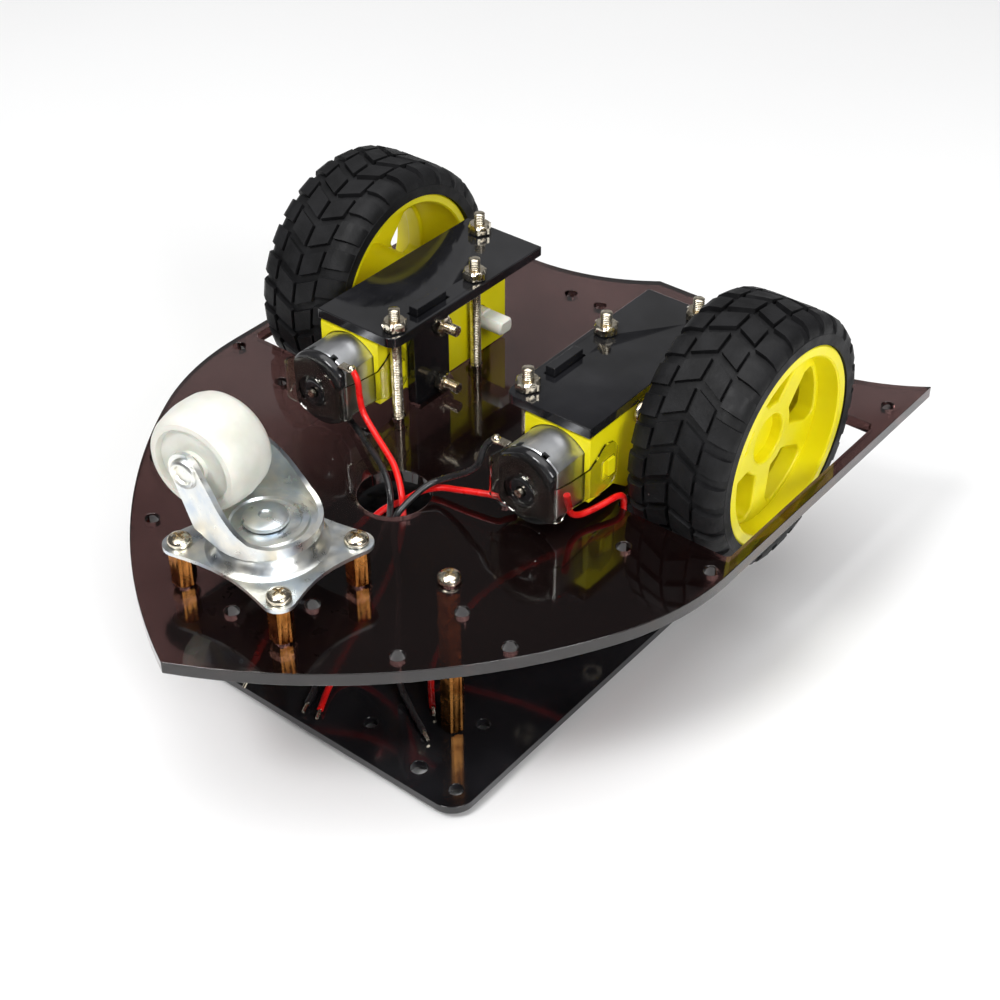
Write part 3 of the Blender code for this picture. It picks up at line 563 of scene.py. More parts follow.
def deck_outline():
    """The shield: two tangent arcs and a straight run on each side, two hollow arcs at the tail."""
    start, turn, end = math.radians(25.6), math.radians(62.0), math.radians(90.0)
    big, small = 156.0, 68.0
    side = []
    for i in range(24):
        heading = start + (turn - start) * i / 23
        side.append((big * (math.sin(heading) - math.sin(start)),
                     NOSE_Y + big * (math.cos(start) - math.cos(heading))))
    x0, y0 = side[-1]
    for i in range(1, 13):
        heading = turn + (end - turn) * i / 12
        side.append((x0 + small * (math.sin(heading) - math.sin(turn)),
                     y0 + small * (math.cos(turn) - math.cos(heading))))
    side.append((DECK_HALF_WIDTH, TAIL_Y))
    middle = (DECK_HALF_WIDTH + CUSP_X) / 2
    half_chord = (DECK_HALF_WIDTH - CUSP_X) / 2
    swing = math.degrees(math.asin(half_chord / TAIL_ARC_R))
    centre_y = TAIL_Y + TAIL_ARC_R * math.cos(math.radians(swing))
    side += arc(middle, centre_y, TAIL_ARC_R, 270 + swing, 270 - swing, 25)[1:]
    return side + [(-x, y) for x, y in reversed(side[1:])]


def make_deck():
    """The smoked sheet with its screw holes, wire hole, wheel slots and bracket slots."""
    holes = pairs(*DECK_HOLES, NOSE_POST, *CLAMP_BOLTS)
    holes += [(x, CASTER_Y + y) for x, y in pairs(FLANGE_BOLTS, (FLANGE_BOLTS[0], -FLANGE_BOLTS[1]))]
    holes += [(0.0, CASTER_Y - SPARE_HOLE_REACH), (0.0, CASTER_Y + SPARE_HOLE_REACH)]
    loops = [circle(x, y, HOLE_R) for x, y in holes]
    loops.append(circle(0.0, WIRE_HOLE_Y, WIRE_HOLE_R, 64))
    for _, sign in both_sides():
        slot_x = sorted(sign * x for x in WHEEL_SLOT_X)
        loops.append(box_outline(slot_x, WHEEL_SLOT_Y, 1.5))
        tab_x = sorted(sign * x for x in (BRACKET_X[0] - 0.4, BRACKET_X[1] + 0.4))
        loops.append(box_outline(tab_x, BRACKET_SLOT_Y))
    shape = prism(deck_outline(), -DECK_T + HALF, -HALF, loops)
    add("deck_sheet", shape, "smoked_acrylic", "chassis", ["deck"], bevel=0.18)


def make_lower_plate():
    """The smaller black sheet, with rounded corners and two sizes of hole."""
    loops = [circle(x, y, HOLE_R) for x, y in pairs(NOSE_POST, TAIL_POST, *PLATE_HOLES)]
    loops += [circle(x, y, WIDE_HOLE_R) for x, y in pairs(*PLATE_WIDE_HOLES)]
    outline = box_outline((-PLATE_HALF_WIDTH, PLATE_HALF_WIDTH), PLATE_Y, 6.0, 16)
    shape = prism(outline, PLATE_BOTTOM + HALF, PLATE_TOP - HALF, loops)
    add("lower_sheet", shape, "black_acrylic", "chassis", ["lower_plate"], bevel=0.18)


def cross_recess(height, depth):
    """The two crossed slots of a screw head, sunk from its top."""
    return [prism(box_outline(*spans), height - depth, height + 0.5)
            for spans in (((-0.38, 0.38), (-1.55, 1.55)), ((-1.55, 1.55), (-0.38, 0.38)))]


def pan_head(seat, way=1):
    """A pan head with a cross recess, standing up (+1) or hanging down (-1) from its seat."""
    profile = [(HEAD_R - 0.15, 0.0), (HEAD_R, 0.2), (HEAD_R, 0.8), (HEAD_R - 0.2, 1.25),
               (HEAD_R - 0.7, 1.7), (HEAD_R - 1.5, 1.95), (0.5, HEAD_H)]
    shape = carved(turned(profile, 40), "DIFFERENCE", *cross_recess(HEAD_H, 1.2))
    bmesh.ops.scale(shape, vec=(1, 1, way), verts=shape.verts)
    return moved(shape, 0, 0, seat)


def thread(low, high, radius=THREAD_R):
    """A threaded shank with fine ridges."""
    count = max(1, round((high - low) / THREAD_PITCH))
    step = (high - low) / count
    profile = []
    for i in range(count):
        base = low + i * step
        profile += [(radius - 0.24, base), (radius, base + step * 0.35), (radius, base + step * 0.6)]
    profile.append((radius - 0.3, high))
    return turned(profile, 20)


def hex_nut(low, height=NUT_H, radius=NUT_R):
    """A hexagonal nut with its corners chamfered at both ends."""
    inner = radius * 0.78
    rings = [ring(low, radius * 0.86, 48), ring(low + 0.2, radius, 48, "hex"),
             ring(low + height - 0.55, radius, 48, "hex"), ring(low + height, inner, 48)]
    return loft(rings)


def hex_post(low, high, radius):
    """A hexagonal spacer with turned ends."""
    inner = radius * 0.86
    rings = [ring(low, inner, 48), ring(low + 0.35, radius, 48, "hex"),
             ring(high - 0.35, radius, 48, "hex"), ring(high, inner, 48)]
    return loft(rings)


def make_posts():
    """The four brass posts between the plates, and the screws at their ends."""
    for end, (x, y) in (("nose", NOSE_POST), ("tail", TAIL_POST)):
        for side, sign in both_sides():
            at = (sign * x, y, 0.0)
            post = hex_post(PLATE_TOP + HALF, -DECK_T - HALF, 3.0)
            add(f"spacer_{end}_{side}", post, "brass", "chassis", [f"post_{end}_{side}"], at, angle=20)
            under = merged(pan_head(PLATE_BOTTOM, -1), thread(PLATE_BOTTOM, PLATE_TOP))
            add(f"foot_screw_{end}_{side}", under, "nickel_steel", "chassis",
                [f"plate_screw_{end}_{side}"], at)
    for side, sign in both_sides():
        at = (sign * NOSE_POST[0], NOSE_POST[1], 0.0)
        screw = merged(pan_head(HALF), thread(-DECK_T, HALF))
        add(f"top_screw_{side}", screw, "nickel_steel", "chassis", [f"deck_screw_{side}"], at)


# ------------------------------------------------------------------ gear motors

def can_ring(height, radius, flat, points=72):
    """A round ring with two flats across X, in the plane of an axis along Y."""
    return [(z, max(-flat, min(flat, x)), height) for z, x, _ in ring(height, radius, points)]


def gearbox_outline():
    """The side wall of the housing: a step under the motor end, rounded corners elsewhere."""
    nose, tail = GEAR_Y
    high = GEAR_H - HALF
    outline = [(nose, 4.3), (-29.4, 4.3), (-24.0, HALF)]
    outline += arc(tail - 1.5, HALF + 1.5, 1.5, 270, 360, 8)
    outline += arc(tail - 1.5, high - 1.5, 1.5, 0, 90, 8)
    outline += arc(nose + 1.5, high - 1.5, 1.5, 90, 180, 8)
    return outline


def gearbox_tools(outer_face, inward):
    """The hollows of one housing shell: gear chamber, motor pocket, shaft bore and screw holes."""
    reach = sorted((outer_face + inward * WALL, GEAR_MID_X + inward * 2.0))
    tools = [prism(box_outline((-25.0, GEAR_Y[1] - WALL), (WALL, GEAR_H - WALL)), *reach, axis="X")]
    pocket = loft([[(z + AXLE_Z, x + GEAR_MID_X, y)
                    for z, x, _ in can_ring(0, CAN_R + 0.25, CAN_FLAT + 0.25)]
                   for y in (GEAR_Y[0] - 2.0, -26.6)], axis="Y")
    tools.append(pocket)
    tools.append(moved(turned([(2.2, -28.0), (2.2, -24.0)], 24, axis="Y"), GEAR_MID_X, 0, AXLE_Z))
    across = (GEAR_X[0] - 3.0, GEAR_X[1] + 3.0)
    for y, z, radius in ((0.0, AXLE_Z, SHAFT_R + 0.25), (BOLT_Y, AXLE_Z - BOLT_RISE, HOLE_R),
                         (BOLT_Y, AXLE_Z + BOLT_RISE, HOLE_R)):
        tools.append(prism(circle(y, z, radius, 32), *across, axis="X"))
    return tools


def make_gearbox(name, sign):
    """The yellow housing: two moulded shells with a seam, a lug, and a boss round the shaft."""
    for half, outer_face, inward in (("inner", GEAR_X[0], 1), ("outer", GEAR_X[1], -1)):
        low, high = sorted((outer_face, GEAR_MID_X - inward * 0.07))
        body = prism(gearbox_outline(), low, high, axis="X")
        lug_x = sorted((outer_face + inward * 0.6, outer_face - inward * 1.2))
        lug = prism(box_outline((-33.2, -30.6), (9.0, 13.5), 0.3, 4), *lug_x, axis="X")
        shape = carved(body, "UNION", lug)
        if half == "outer":
            boss = prism(circle(0.0, AXLE_Z, 4.6, 48), GEAR_X[1] - 0.5, GEAR_X[1] + 1.0, axis="X")
            dimple = prism(circle(-11.0, AXLE_Z, 2.2, 32), GEAR_X[1] - 0.5, GEAR_X[1] + 0.5, axis="X")
            shape = carved(shape, "UNION", boss, dimple)
        shape = carved(shape, "DIFFERENCE", *gearbox_tools(outer_face, inward))
        add(f"housing_{half}_{name}", mirrored(shape, sign), "yellow_plastic", "chassis",
            [f"gearbox_{half}_{name}"], bevel=0.12)


def make_motor(name, sign):
    """The steel can with two flats and crimp notches, and its black end cap with a domed bearing."""
    at = (sign * GEAR_MID_X, 0.0, AXLE_Z)
    back, front = CAN_Y
    inner, wall_flat = CAN_R - 0.9, CAN_FLAT - 0.9
    can = loft([can_ring(back, CAN_R - 0.25, CAN_FLAT - 0.25), can_ring(back + 0.25, CAN_R, CAN_FLAT),
                can_ring(front - 0.8, CAN_R, CAN_FLAT), can_ring(front, CAN_R - 0.8, CAN_FLAT - 0.5),
                can_ring(front, 1.9, 1.9), can_ring(front - 0.9, 1.9, 1.9),
                can_ring(front - 0.9, inner, wall_flat), can_ring(back, inner, wall_flat)],
               closed=True, axis="Y")
    notches = [prism(box_outline((x - 0.8, x + 0.8), (back - 1.0, back + 1.3)), *span)
               for x in (-3.6, 3.6) for span in ((5.0, 11.0), (-11.0, -5.0))]
    can = carved(can, "DIFFERENCE", *notches)
    add(f"can_{name}", can, "motor_steel", "chassis", [f"motor_can_{name}"], at)
    back, front = CAP_Y
    cap = [can_ring(front, CAN_R, CAN_FLAT), can_ring(front - 0.9, CAN_R, CAN_FLAT),
           can_ring(back + 0.5, CAN_R - 0.3, CAN_FLAT),
           can_ring(back + 0.15, CAN_R - 0.8, CAN_FLAT - 0.2),
           can_ring(back, CAN_R - 1.6, CAN_FLAT - 0.6), can_ring(back, 4.2, 4.2),
           can_ring(back - 0.5, 3.7, 3.7), can_ring(back - 1.0, 3.3, 3.3), can_ring(back - 1.2, 2.7, 2.7),
           can_ring(back - 1.2, 1.4, 1.4), can_ring(front, 1.4, 1.4)]
    add(f"cap_{name}", loft(cap, closed=True, axis="Y"), "black_plastic", "chassis",
        [f"motor_cap_{name}"], at)


def strap_path():
    """The strap's outer line seen from above, from the inner arm's end round the motor's back."""
    x0, x1 = GEAR_X[0] - 0.75, GEAR_X[1] + 0.9
    back, front = STRAP_Y
    bend = 2.6
    inner_arm = [(x0, front + (back + bend - front) * i / 14, -1, 0) for i in range(15)]
    turn_in = [(x, y, math.cos(math.radians(a)), math.sin(math.radians(a)))
               for a, (x, y) in zip(range(195, 270, 15), arc(x0 + bend, back + bend, bend, 195, 255, 5))]
    span = x1 - x0 - 2 * bend
    across = [(x0 + bend + span * i / 24, back, 0, -1) for i in range(25)]
    turn_out = [(x, y, math.cos(math.radians(a)), math.sin(math.radians(a)))
                for a, (x, y) in zip(range(285, 360, 15), arc(x1 - bend, back + bend, bend, 285, 345, 5))]
    outer_arm = [(x1, back + bend + (front - back - bend) * i / 14, 1, 0) for i in range(15)]
    return inner_arm + turn_in + across + turn_out + outer_arm


def between(value, knots):
    """Linear interpolation in (position, value) knots."""
    for (a, low), (b, high) in zip(knots, knots[1:]):
        if value <= b:
            return low + (high - low) * max(0.0, (value - a) / (b - a))
    return knots[-1][1]


def make_strap(name, sign):
    """The clear strap: a disc over the motor's back and two arms hooked on the housing's lugs."""
    band_low, band_high = STRAP_BAND_Z
    top = ((-50.6, band_high), (-47.5, 15.4), (-40.0, 14.6), (-37.0, 16.2), (-34.3, 18.5),
           (-30.4, 17.6), (-29.3, 15.6))
    bottom = ((-50.6, band_low), (-49.0, 7.9), (-39.5, 6.6), (-37.0, 5.2), (-30.5, 6.2), (-29.3, 7.6))
    rings = []
    for x, y, out_x, out_y in strap_path():
        high, low = between(y, top), between(y, bottom)
        from_middle = abs(x - GEAR_MID_X)
        if out_y == -1 and from_middle < STRAP_DISC_R:
            swell = math.sqrt(STRAP_DISC_R ** 2 - from_middle ** 2)
            low = min(band_low, STRAP_DISC_Z - swell)
            high = max(band_high, STRAP_DISC_Z + swell)
        in_x, in_y = x - STRAP_T * out_x, y - STRAP_T * out_y
        rings.append([(x, y, low), (x, y, high), (in_x, in_y, high), (in_x, in_y, low)])
    eye = moved(turned([(4.4, -57.0), (4.4, -50.0)], 40, axis="Y"), GEAR_MID_X, 0, AXLE_Z + 0.4)
    window = prism(box_outline((-35.2, -30.1), (8.5, 14.0), 0.6, 4), 18.0, 46.0, axis="X")
    shape = carved(loft(rings), "DIFFERENCE", eye, window)
    add(f"strap_{name}", mirrored(shape, sign), "clear_plastic", "chassis", [f"motor_strap_{name}"])


def make_terminals(name, sign):
    """A tinned terminal tab with a blob of solder where a lead meets the motor."""
    wire = WIRES["wire_red_left" if sign < 0 else "wire_black_right"][0]
    blob = turned([(0.2, -1.15), (0.8, -0.95), (1.2, -0.3), (1.15, 0.3), (0.7, 0.9), (0.2, 1.1)], 20)
    tab = mirrored(prism(box_outline((0.0, 3.4), (-1.2, 1.2)), -0.2, 0.1), sign)
    add(f"terminal_{name}", merged(blob, tab), "nickel_steel", "chassis", at=wire)


def double_d(height, radius, flat, points=48):
    """A round shaft section with two flats."""
    return [(x, max(-flat, min(flat, y)), height) for x, y, _ in ring(height, radius, points)]


def make_shaft(name, sign):
    """The white output shaft, flattened at both ends, with its gear."""
    inner, outer = SHAFT_X
    gear_low, gear_high = OUTPUT_GEAR_X
    shaft = [double_d(inner, 2.1, 1.5), double_d(inner + 0.5, SHAFT_R, SHAFT_FLAT),
             double_d(inner + 6.6, SHAFT_R, SHAFT_FLAT), ring(inner + 6.7, SHAFT_R, 48),
             ring(gear_low, SHAFT_R, 48), ring(gear_low, OUTPUT_GEAR_R, 48, "teeth"),
             ring(gear_high, OUTPUT_GEAR_R, 48, "teeth"), ring(gear_high, SHAFT_R, 48),
             ring(45.0, SHAFT_R, 48), double_d(45.1, SHAFT_R, SHAFT_FLAT),
             double_d(outer - 0.5, SHAFT_R, SHAFT_FLAT), double_d(outer, 2.1, 1.5)]
    add(f"shaft_{name}", mirrored(loft(shaft, axis="X"), sign), "white_nylon", f"wheel_{name}",
        [f"output_shaft_{name}"], (0.0, 0.0, AXLE_Z))


# ------------------------------------------------------------------ covers, brackets and bolts

def make_cover(name, sign):
    """The black sheet over a gear motor, with one rounded corner and a slot for the bracket's tab."""
    low, high = GEAR_H + HALF, GEAR_H + COVER_T - HALF
    loops = [circle(x, y, HOLE_R) for x, y in CLAMP_BOLTS]
    loops.append(box_outline((BRACKET_X[0] - 0.15, BRACKET_X[1] + 0.2), (TAB_Y[0] - 0.4, TAB_Y[1] + 0.9)))
    (x0, x1), (y0, y1) = COVER_X, COVER_Y
    outline = [(x1, y0), (x1, y1), (x0, y1)] + arc(x0 + 3.0, y0 + 3.0, 3.0, 180, 270, 12)
    add(f"cover_sheet_{name}", mirrored(prism(outline, low, high, loops), sign), "black_acrylic",
        "chassis", [f"cover_{name}"], bevel=0.22)


def make_bracket(name, sign):
    """An upright plate against the gearbox: one tab through the deck, one through the cover."""
    (y0, y1), (t0, t1) = BRACKET_Y, TAB_Y
    low, high = HALF, GEAR_H - HALF
    foot, head = -DECK_T + 0.6, GEAR_H + COVER_T + TAB_RISE
    outline = [(t0, foot), (t1, foot), (t1, low), (y1, low), (y1, high), (t1, high),
               (t1, head), (t0, head), (t0, high), (y0, high), (y0, low), (t0, low)]
    holes = [circle(BOLT_Y, AXLE_Z + rise, HOLE_R) for rise in (-BOLT_RISE, BOLT_RISE)]
    shape = prism(outline, *BRACKET_X, holes, axis="X")
    add(f"upright_{name}", mirrored(shape, sign), "black_acrylic", "chassis", [f"bracket_{name}"],
        bevel=0.15)


def make_clamp_bolts(name, sign):
    """Three long screws clamp the cover to the deck. The tail one runs on down into its post."""
    nut_low = GEAR_H + COVER_T + HALF
    top = nut_low + NUT_H + 3.0
    for tag, (x, y) in zip(("nose", "middle", "tail"), CLAMP_BOLTS):
        parts = [thread(HALF, top), hex_nut(nut_low), thread(-DECK_T, HALF)]
        if tag != "tail":
            parts.append(pan_head(-DECK_T - HALF, -1))
        add(f"long_screw_{tag}_{name}", merged(*parts), "nickel_steel", "chassis",
            [f"clamp_bolt_{tag}_{name}"], (sign * x, y, 0.0))


def make_gearbox_bolts(name, sign):
    """Two screws pass through each gearbox and bracket, with the nut on the inner side."""
    nut = BRACKET_X[0] - 0.1
    for tag, rise in (("low", -BOLT_RISE), ("high", BOLT_RISE)):
        shape = merged(thread(13.3, GEAR_X[1]), hex_nut(nut - NUT_H, NUT_H, 2.9),
                       pan_head(GEAR_X[1] + 0.1))
        shape = along(shape, "X")
        add(f"side_screw_{tag}_{name}", mirrored(shape, sign), "nickel_steel", "chassis",
            [f"gearbox_bolt_{tag}_{name}"], (0.0, BOLT_Y, AXLE_Z + rise))


# ------------------------------------------------------------------ wheels

def tread_radius(u):
    """The tyre's outer radius at a distance u from its middle."""
    return between(abs(u), ((0.0, TYRE_R), (7.5, TYRE_R - 0.1), (10.2, TYRE_R - 0.5),
                            (12.0, TYRE_R - 1.7), (12.9, TYRE_R - 3.6)))


def tread_block(start, shift, reach, stations, middle):
    """One raised block of the tread, from a row of stations across the tyre."""
    rings = []
    for u in stations:
        top = tread_radius(u)
        low = top - TREAD_DEPTH - 0.8
        lean = start + shift * abs(u)
        corners = ((lean - reach - 0.25, low), (lean - reach, top), (lean + reach, top),
                   (lean + reach + 0.25, low))
        rings.append([(r * math.cos(s / TYRE_R), r * math.sin(s / TYRE_R), middle + u)
                      for s, r in corners])
    return loft(rings, axis="X")


def make_tyre(name, sign):
    """A rubber tyre: carcass, a chevron of blocks on each side of the middle, and shoulder blocks."""
    inner, outer = TYRE_X
    middle = (inner + outer) / 2
    bead = RIM_R + 0.15
    profile = [(bead, inner), (TYRE_R - 4.4, inner), (TYRE_R - 3.4, inner + 0.7)]
    profile += [(tread_radius(u) - TREAD_DEPTH, middle + u)
                for u in (-11.9, -10.2, -7.5, -3.0, 3.0, 7.5, 10.2, 11.9)]
    profile += [(TYRE_R - 3.4, outer - 0.7), (TYRE_R - 4.4, outer), (bead, outer)]
    shells = [turned(profile, 104, True, "X")]
    pitch = 2 * math.pi * TYRE_R / TREAD_COUNT
    lean = 0.5 * sign
    for i in range(TREAD_COUNT):
        start = i * pitch
        for half in (-1, 1):
            inside = [half * u for u in (0.55, 2.4, 4.2, 6.1)]
            shells.append(tread_block(start, lean, 2.75, inside, middle))
            shoulder = [half * u for u in (7.0, 8.6, 10.2, 12.0, 12.8)]
            shells.append(tread_block(start + sign * 0.42 * pitch, lean * 0.35, 2.55, shoulder, middle))
    shape = merged(*shells)
    if sign < 0:
        moved(shape, -2 * middle, 0, 0)
    add(f"tread_{name}", shape, "tyre_rubber", f"wheel_{name}", [f"tyre_{name}"], (0.0, 0.0, AXLE_Z))


def window_corners(middle, way):
    """The two soft corners on one side of a spoke window, from the far one to the near one."""
    wide, narrow, far, near, soft = WINDOW
    far_turn = math.radians(middle + way * (wide - 7))
    far_corner = math.radians(middle + way * wide * 0.94)
    near_corner = math.radians(middle + way * (narrow + 3))
    near_turn = math.radians(middle + way * (narrow - 3))
    points = ((far - soft * 0.3, (far_turn + far_corner) / 2), (far - soft, far_corner),
              (near + soft, near_corner), (near + soft * 0.3, (near_turn + near_corner) / 2))
    return [(r * math.cos(a), r * math.sin(a)) for r, a in points]


def spoke_window(middle):
    """The rounded opening between two spokes, centred on an angle in degrees."""
    wide, narrow, far, near, _ = WINDOW
    outline = arc(0, 0, far, middle - wide + 7, middle + wide - 7, 12)
    outline += window_corners(middle, 1)
    outline += arc(0, 0, near, middle + narrow - 3, middle - narrow + 3, 8)
    return outline + window_corners(middle, -1)[::-1]


def make_rim(name, sign):
    """A moulded yellow rim with a lip, five flat spokes and a dished hub."""
    inner, outer = TYRE_X
    barrel = [(RIM_R, inner + 1.4), (RIM_R, outer - 0.7), (RIM_R - 0.4, outer - 0.3),
              (RIM_R - 2.5, outer - 0.3), (RIM_R - 2.9, outer - 0.7), (RIM_R - 3.0, outer - 4.0),
              (RIM_R - 3.7, 64.4), (RIM_R - 3.7, WEB_X[0]), (RIM_R - 2.5, 57.5),
              (RIM_R - 2.4, inner + 1.4), (RIM_R - 2.0, inner + 1.0), (RIM_R - 0.4, inner + 1.0)]
    windows = [spoke_window(FIRST_WINDOW + 360 / SPOKE_COUNT * i) for i in range(SPOKE_COUNT)]
    web = prism(circle(0, 0, RIM_R - 3.0, 96), *WEB_X, windows + [circle(0, 0, 6.2, 48)], axis="X")
    hub = turned([(HUB_R, 48.0), (HUB_R, 61.5), (BORE_R, 61.5), (BORE_R, 48.0)], 48, True, "X")
    dish = turned([(0.4, 61.0), (5.6, 61.0), (6.5, 61.9), (6.5, 62.6), (4.9, 61.9), (0.4, 61.7)], 48,
                  False, "X")
    shape = merged(turned(barrel, 96, True, "X"), hub, dish)
    add(f"barrel_{name}", mirrored(shape, sign), "yellow_plastic", f"wheel_{name}", [f"rim_{name}"],
        (0.0, 0.0, AXLE_Z), angle=30)
    add(f"spokes_{name}", mirrored(web, sign), "yellow_plastic", f"wheel_{name}", [f"rim_{name}"],
        (0.0, 0.0, AXLE_Z), bevel=0.7)


# ------------------------------------------------------------------ caster

def make_flange():
    """The stamped flange plate with its ball race, on four brass posts."""
    bolt_x, bolt_y = FLANGE_BOLTS
    corners = ((bolt_x, -bolt_y), (bolt_x, bolt_y), (-bolt_x, bolt_y), (-bolt_x, -bolt_y))
    outline = []
    for i, (x, y) in enumerate(corners):
        outline += arc(x, y, FLANGE_CORNER_R, -100 + 90 * i, 10 + 90 * i, 14)
        end = Vector(outline[-1])
        turn = math.radians(-10 + 90 * i)
        reach = FLANGE_CORNER_R * Vector((math.cos(turn), math.sin(turn)))
        following = Vector(corners[(i + 1) % 4]) + reach
        inward = -(end + following).normalized()
        for step in range(1, 8):
            t = step / 8
            point = end.lerp(following, t) + inward * 2.2 * math.sin(math.pi * t)
            outline.append((point.x, point.y))
    holes = [circle(x, y, HOLE_R) for x, y in corners] + [circle(0, 0, 9.0, 64)]
    plate = prism(outline, *FLANGE_Z, holes)
    high = FLANGE_Z[1]
    dome = [(13.9, high - 0.4), (13.9, high + 0.05), (13.3, high + 0.3), (12.5, high + 1.1),
            (11.9, 13.2), (11.2, 14.4), (9.6, 15.4), (3.4, 15.5), (3.4, 14.6), (8.8, 14.6), (10.0, 13.4),
            (10.6, high - 0.4)]
    shape = merged(plate, turned(dome, 72, True))
    add("flange_plate", shape, "zinc_plate", "chassis", ["caster_flange"], (0.0, CASTER_Y, 0.0))
    for tag, (x, y) in zip(("front_right", "rear_right", "rear_left", "front_left"), corners):
        at = (x, CASTER_Y + y, 0.0)
        node = f"caster_post_{tag}"
        post = hex_post(HALF, FLANGE_Z[0] - HALF, 2.9)
        add(f"caster_spacer_{tag}", post, "brass", "chassis", [node], at, angle=20)
        under = -DECK_T - HALF
        screw = merged(pan_head(FLANGE_Z[1] + 0.1), thread(under - NUT_H - 0.8, HALF),
                       hex_nut(under - NUT_H))
        add(f"caster_screw_{tag}", screw, "nickel_steel", "chassis", [node], at)


def fork_path():
    """The fork wall's outer line from the near arm round the front to the far arm, with its heading."""
    spread = ((ARM_START_X, FORK_Y), (-12.5, FORK_Y + 0.05), (-10.5, 9.7), (-3.9, 11.95))
    places = [ARM_START_X + 0.5 * i for i in range(27)]
    arm = [(x, -between(x, spread)) for x in places]
    front = arc(0, 0, FORK_FRONT_R, -107.6, 107.6, 49)
    return arm + front + [(x, -y) for x, y in reversed(arm)]


def make_fork():
    """The stamped fork: a floor pan and one wall that rises into the two arms."""
    points = [Vector((x, y, 0.0)) for x, y in fork_path()]
    rings = []
    for i, point in enumerate(points):
        before = points[max(i - 1, 0)]
        after = points[min(i + 1, len(points) - 1)]
        heading = (after - before).normalized()
        inside = point + FORK_T * Vector((-heading.y, heading.x, 0.0))
        low = between(point.x, ((-17.6, 30.2), (-16.8, 28.6), (-12.6, BOWL_Z + 0.5), (-9.0, BOWL_Z)))
        reach = max(0.0, FORK_EYE_R ** 2 - (point.x + TRAIL) ** 2)
        crown = CASTER_AXLE_Z + math.sqrt(reach)
        fall = between(point.x, ((ARM_END_X, 34.5), (-4.0, 28.3), (1.0, 22.4), (4.0, 19.9), (8.0, 18.7),
                                 (12.7, WALL_END_Z)))
        high = crown if point.x < ARM_END_X else fall
        rings.append([(point.x, point.y, low), (point.x, point.y, high),
                      (inside.x, inside.y, high), (inside.x, inside.y, low)])
    pan = [(3.2, BOWL_Z), (11.6, BOWL_Z), (12.2, BOWL_Z + 0.4), (12.2, BOWL_Z + 1.2), (9.9, BOWL_Z + 1.2),
           (9.5, BOWL_Z + 1.7), (8.0, BOWL_Z + 1.7), (7.6, BOWL_Z + 1.2), (3.2, BOWL_Z + 1.2)]
    shape = merged(loft(rings), turned(pan, 72, True))
    at = (0.0, CASTER_Y, 0.0)
    add("fork_shell", shape, "zinc_plate", "caster_fork", ["caster_fork"], at, CASTER_TURN)


def make_caster():
    """The swivel caster: flange and posts, fork, kingpin rivet, axle rivet and nylon wheel."""
    make_flange()
    make_fork()
    pin = [(5.0, 13.6), (5.0, 14.3), (2.9, 14.3), (2.9, BOWL_Z + 1.4), (5.0, BOWL_Z + 1.4),
           (5.3, BOWL_Z + 1.8), (5.1, BOWL_Z + 2.5), (4.2, BOWL_Z + 2.9), (1.6, BOWL_Z + 3.0),
           (1.2, BOWL_Z + 2.6), (0.3, BOWL_Z + 2.5)]
    add("king_rivet", turned(pin, 48), "zinc_plate", "chassis", ["caster_kingpin"], (0.0, CASTER_Y, 0.0))
    away = Matrix.Rotation(CASTER_TURN, 3, "Z") @ Vector((-TRAIL, 0.0, 0.0))
    at = (away.x, CASTER_Y + away.y, CASTER_AXLE_Z)
    seat = FORK_Y + 0.05
    end = [(0.3, 0.4), (2.1, 0.4), (2.4, 1.1), (2.9, 1.3), (3.4, 1.0), (3.6, 0.4), (3.6, 0.0), (1.6, 0.0)]
    axle = [(r, -seat - h) for r, h in end] + [(r, seat + h) for r, h in reversed(end)]
    add("axle_rivet", turned(axle, 40, axis="Y"), "zinc_plate", "caster_fork", ["caster_axle"], at,
        CASTER_TURN)
    near = [(2.0, -7.2), (3.6, -7.2), (3.8, -6.2), (8.8, -6.0), (9.4, -7.2), (10.6, -7.1), (11.3, -6.4),
            (11.9, -5.0), (12.2, -3.0), (12.45, -0.6)]
    wheel = near + [(r, -h) for r, h in reversed(near)]
    add("caster_roller", turned(wheel, 72, True, "Y"), "white_nylon", "caster_wheel", ["caster_wheel"],
        at, CASTER_TURN)


# ------------------------------------------------------------------ what stays from the CAD, and the set

def finish_kept_nodes():
    """Gears and rotors keep their CAD shapes and take their finishes here."""
    for name, _ in both_sides():
        for node, look in ((f"crown_gear_{name}", "white_nylon"), (f"rotor_{name}", "nickel_steel")):
            mesh = frame["nodes"][node].data
            mesh.materials.clear()
            mesh.materials.append(finish(look))


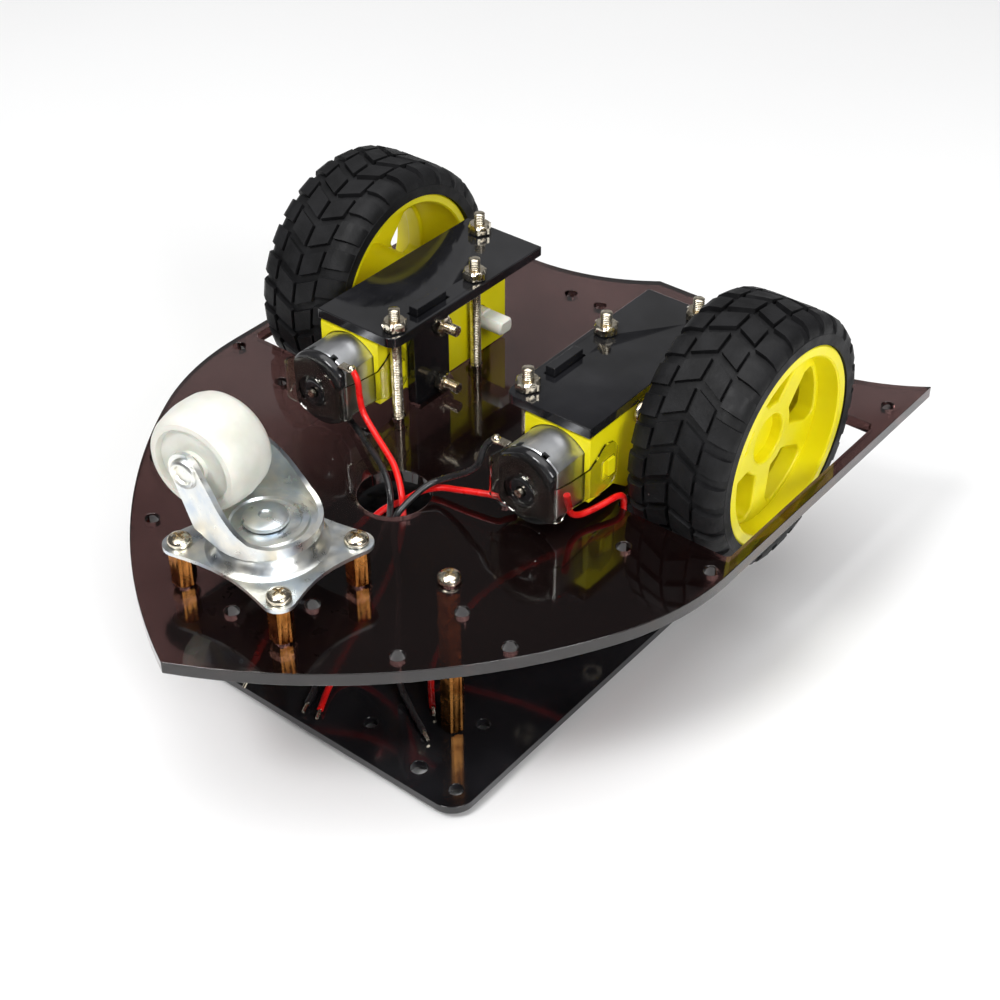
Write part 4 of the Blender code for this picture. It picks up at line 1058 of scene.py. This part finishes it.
def area_light(name, at, target, size, power):
    """A soft rectangular light aimed at a point, all in metres."""
    lamp = bpy.data.lights.new(name, "AREA")
    lamp.shape = "RECTANGLE"
    lamp.size, lamp.size_y = size
    lamp.energy = power
    light = bpy.data.objects.new(name, lamp)
    light.location = at
    light.rotation_euler = (Vector(target) - Vector(at)).to_track_quat("-Z", "Y").to_euler()
    bpy.context.collection.objects.link(light)


def make_set():
    """A pale floor, soft lights and an even surround."""
    mesh = bpy.data.meshes.new("floor")
    reach = 4.0
    mesh.from_pydata([(-reach, -reach, 0), (reach, -reach, 0), (reach, reach, 0), (-reach, reach, 0)],
                     [], [(0, 1, 2, 3)])
    mesh.materials.append(finish("floor"))
    floor = bpy.data.objects.new("floor", mesh)
    bpy.context.collection.objects.link(floor)
    middle = (0, 0, 0.05)
    area_light("key", (-0.04, -0.68, 0.94), middle, (0.30, 0.30), 7.0)
    area_light("top", (0.0, 0.0, 1.5), middle, (1.6, 1.6), 20.0)
    area_light("side", (1.0, -0.35, 0.7), middle, (0.5, 0.5), 8.5)
    area_light("backdrop", (-1.25, 1.56, 0.72), (0, 0, 0.72), (3.0, 1.44), 3.4)
    surround = bpy.data.worlds.new("surround")
    surround.use_nodes = True
    shade = surround.node_tree.nodes["Background"]
    shade.inputs["Color"].default_value = (0.97, 0.98, 1.0, 1.0)
    shade.inputs["Strength"].default_value = 0.08
    bpy.context.scene.view_settings.view_transform = "Standard"
    bpy.context.scene.world = surround


# ------------------------------------------------------------------ the car

def build():
    """Camera and leads first, then the plates, both motors with their wheels, the caster and the set."""
    make_camera()
    make_leads()
    make_deck()
    make_lower_plate()
    make_posts()
    for name, sign in both_sides():
        make_gearbox(name, sign)
        make_motor(name, sign)
        make_strap(name, sign)
        make_terminals(name, sign)
        make_shaft(name, sign)
        make_cover(name, sign)
        make_bracket(name, sign)
        make_clamp_bolts(name, sign)
        make_gearbox_bolts(name, sign)
        make_tyre(name, sign)
        make_rim(name, sign)
    make_caster()
    finish_kept_nodes()
    make_set()


build()
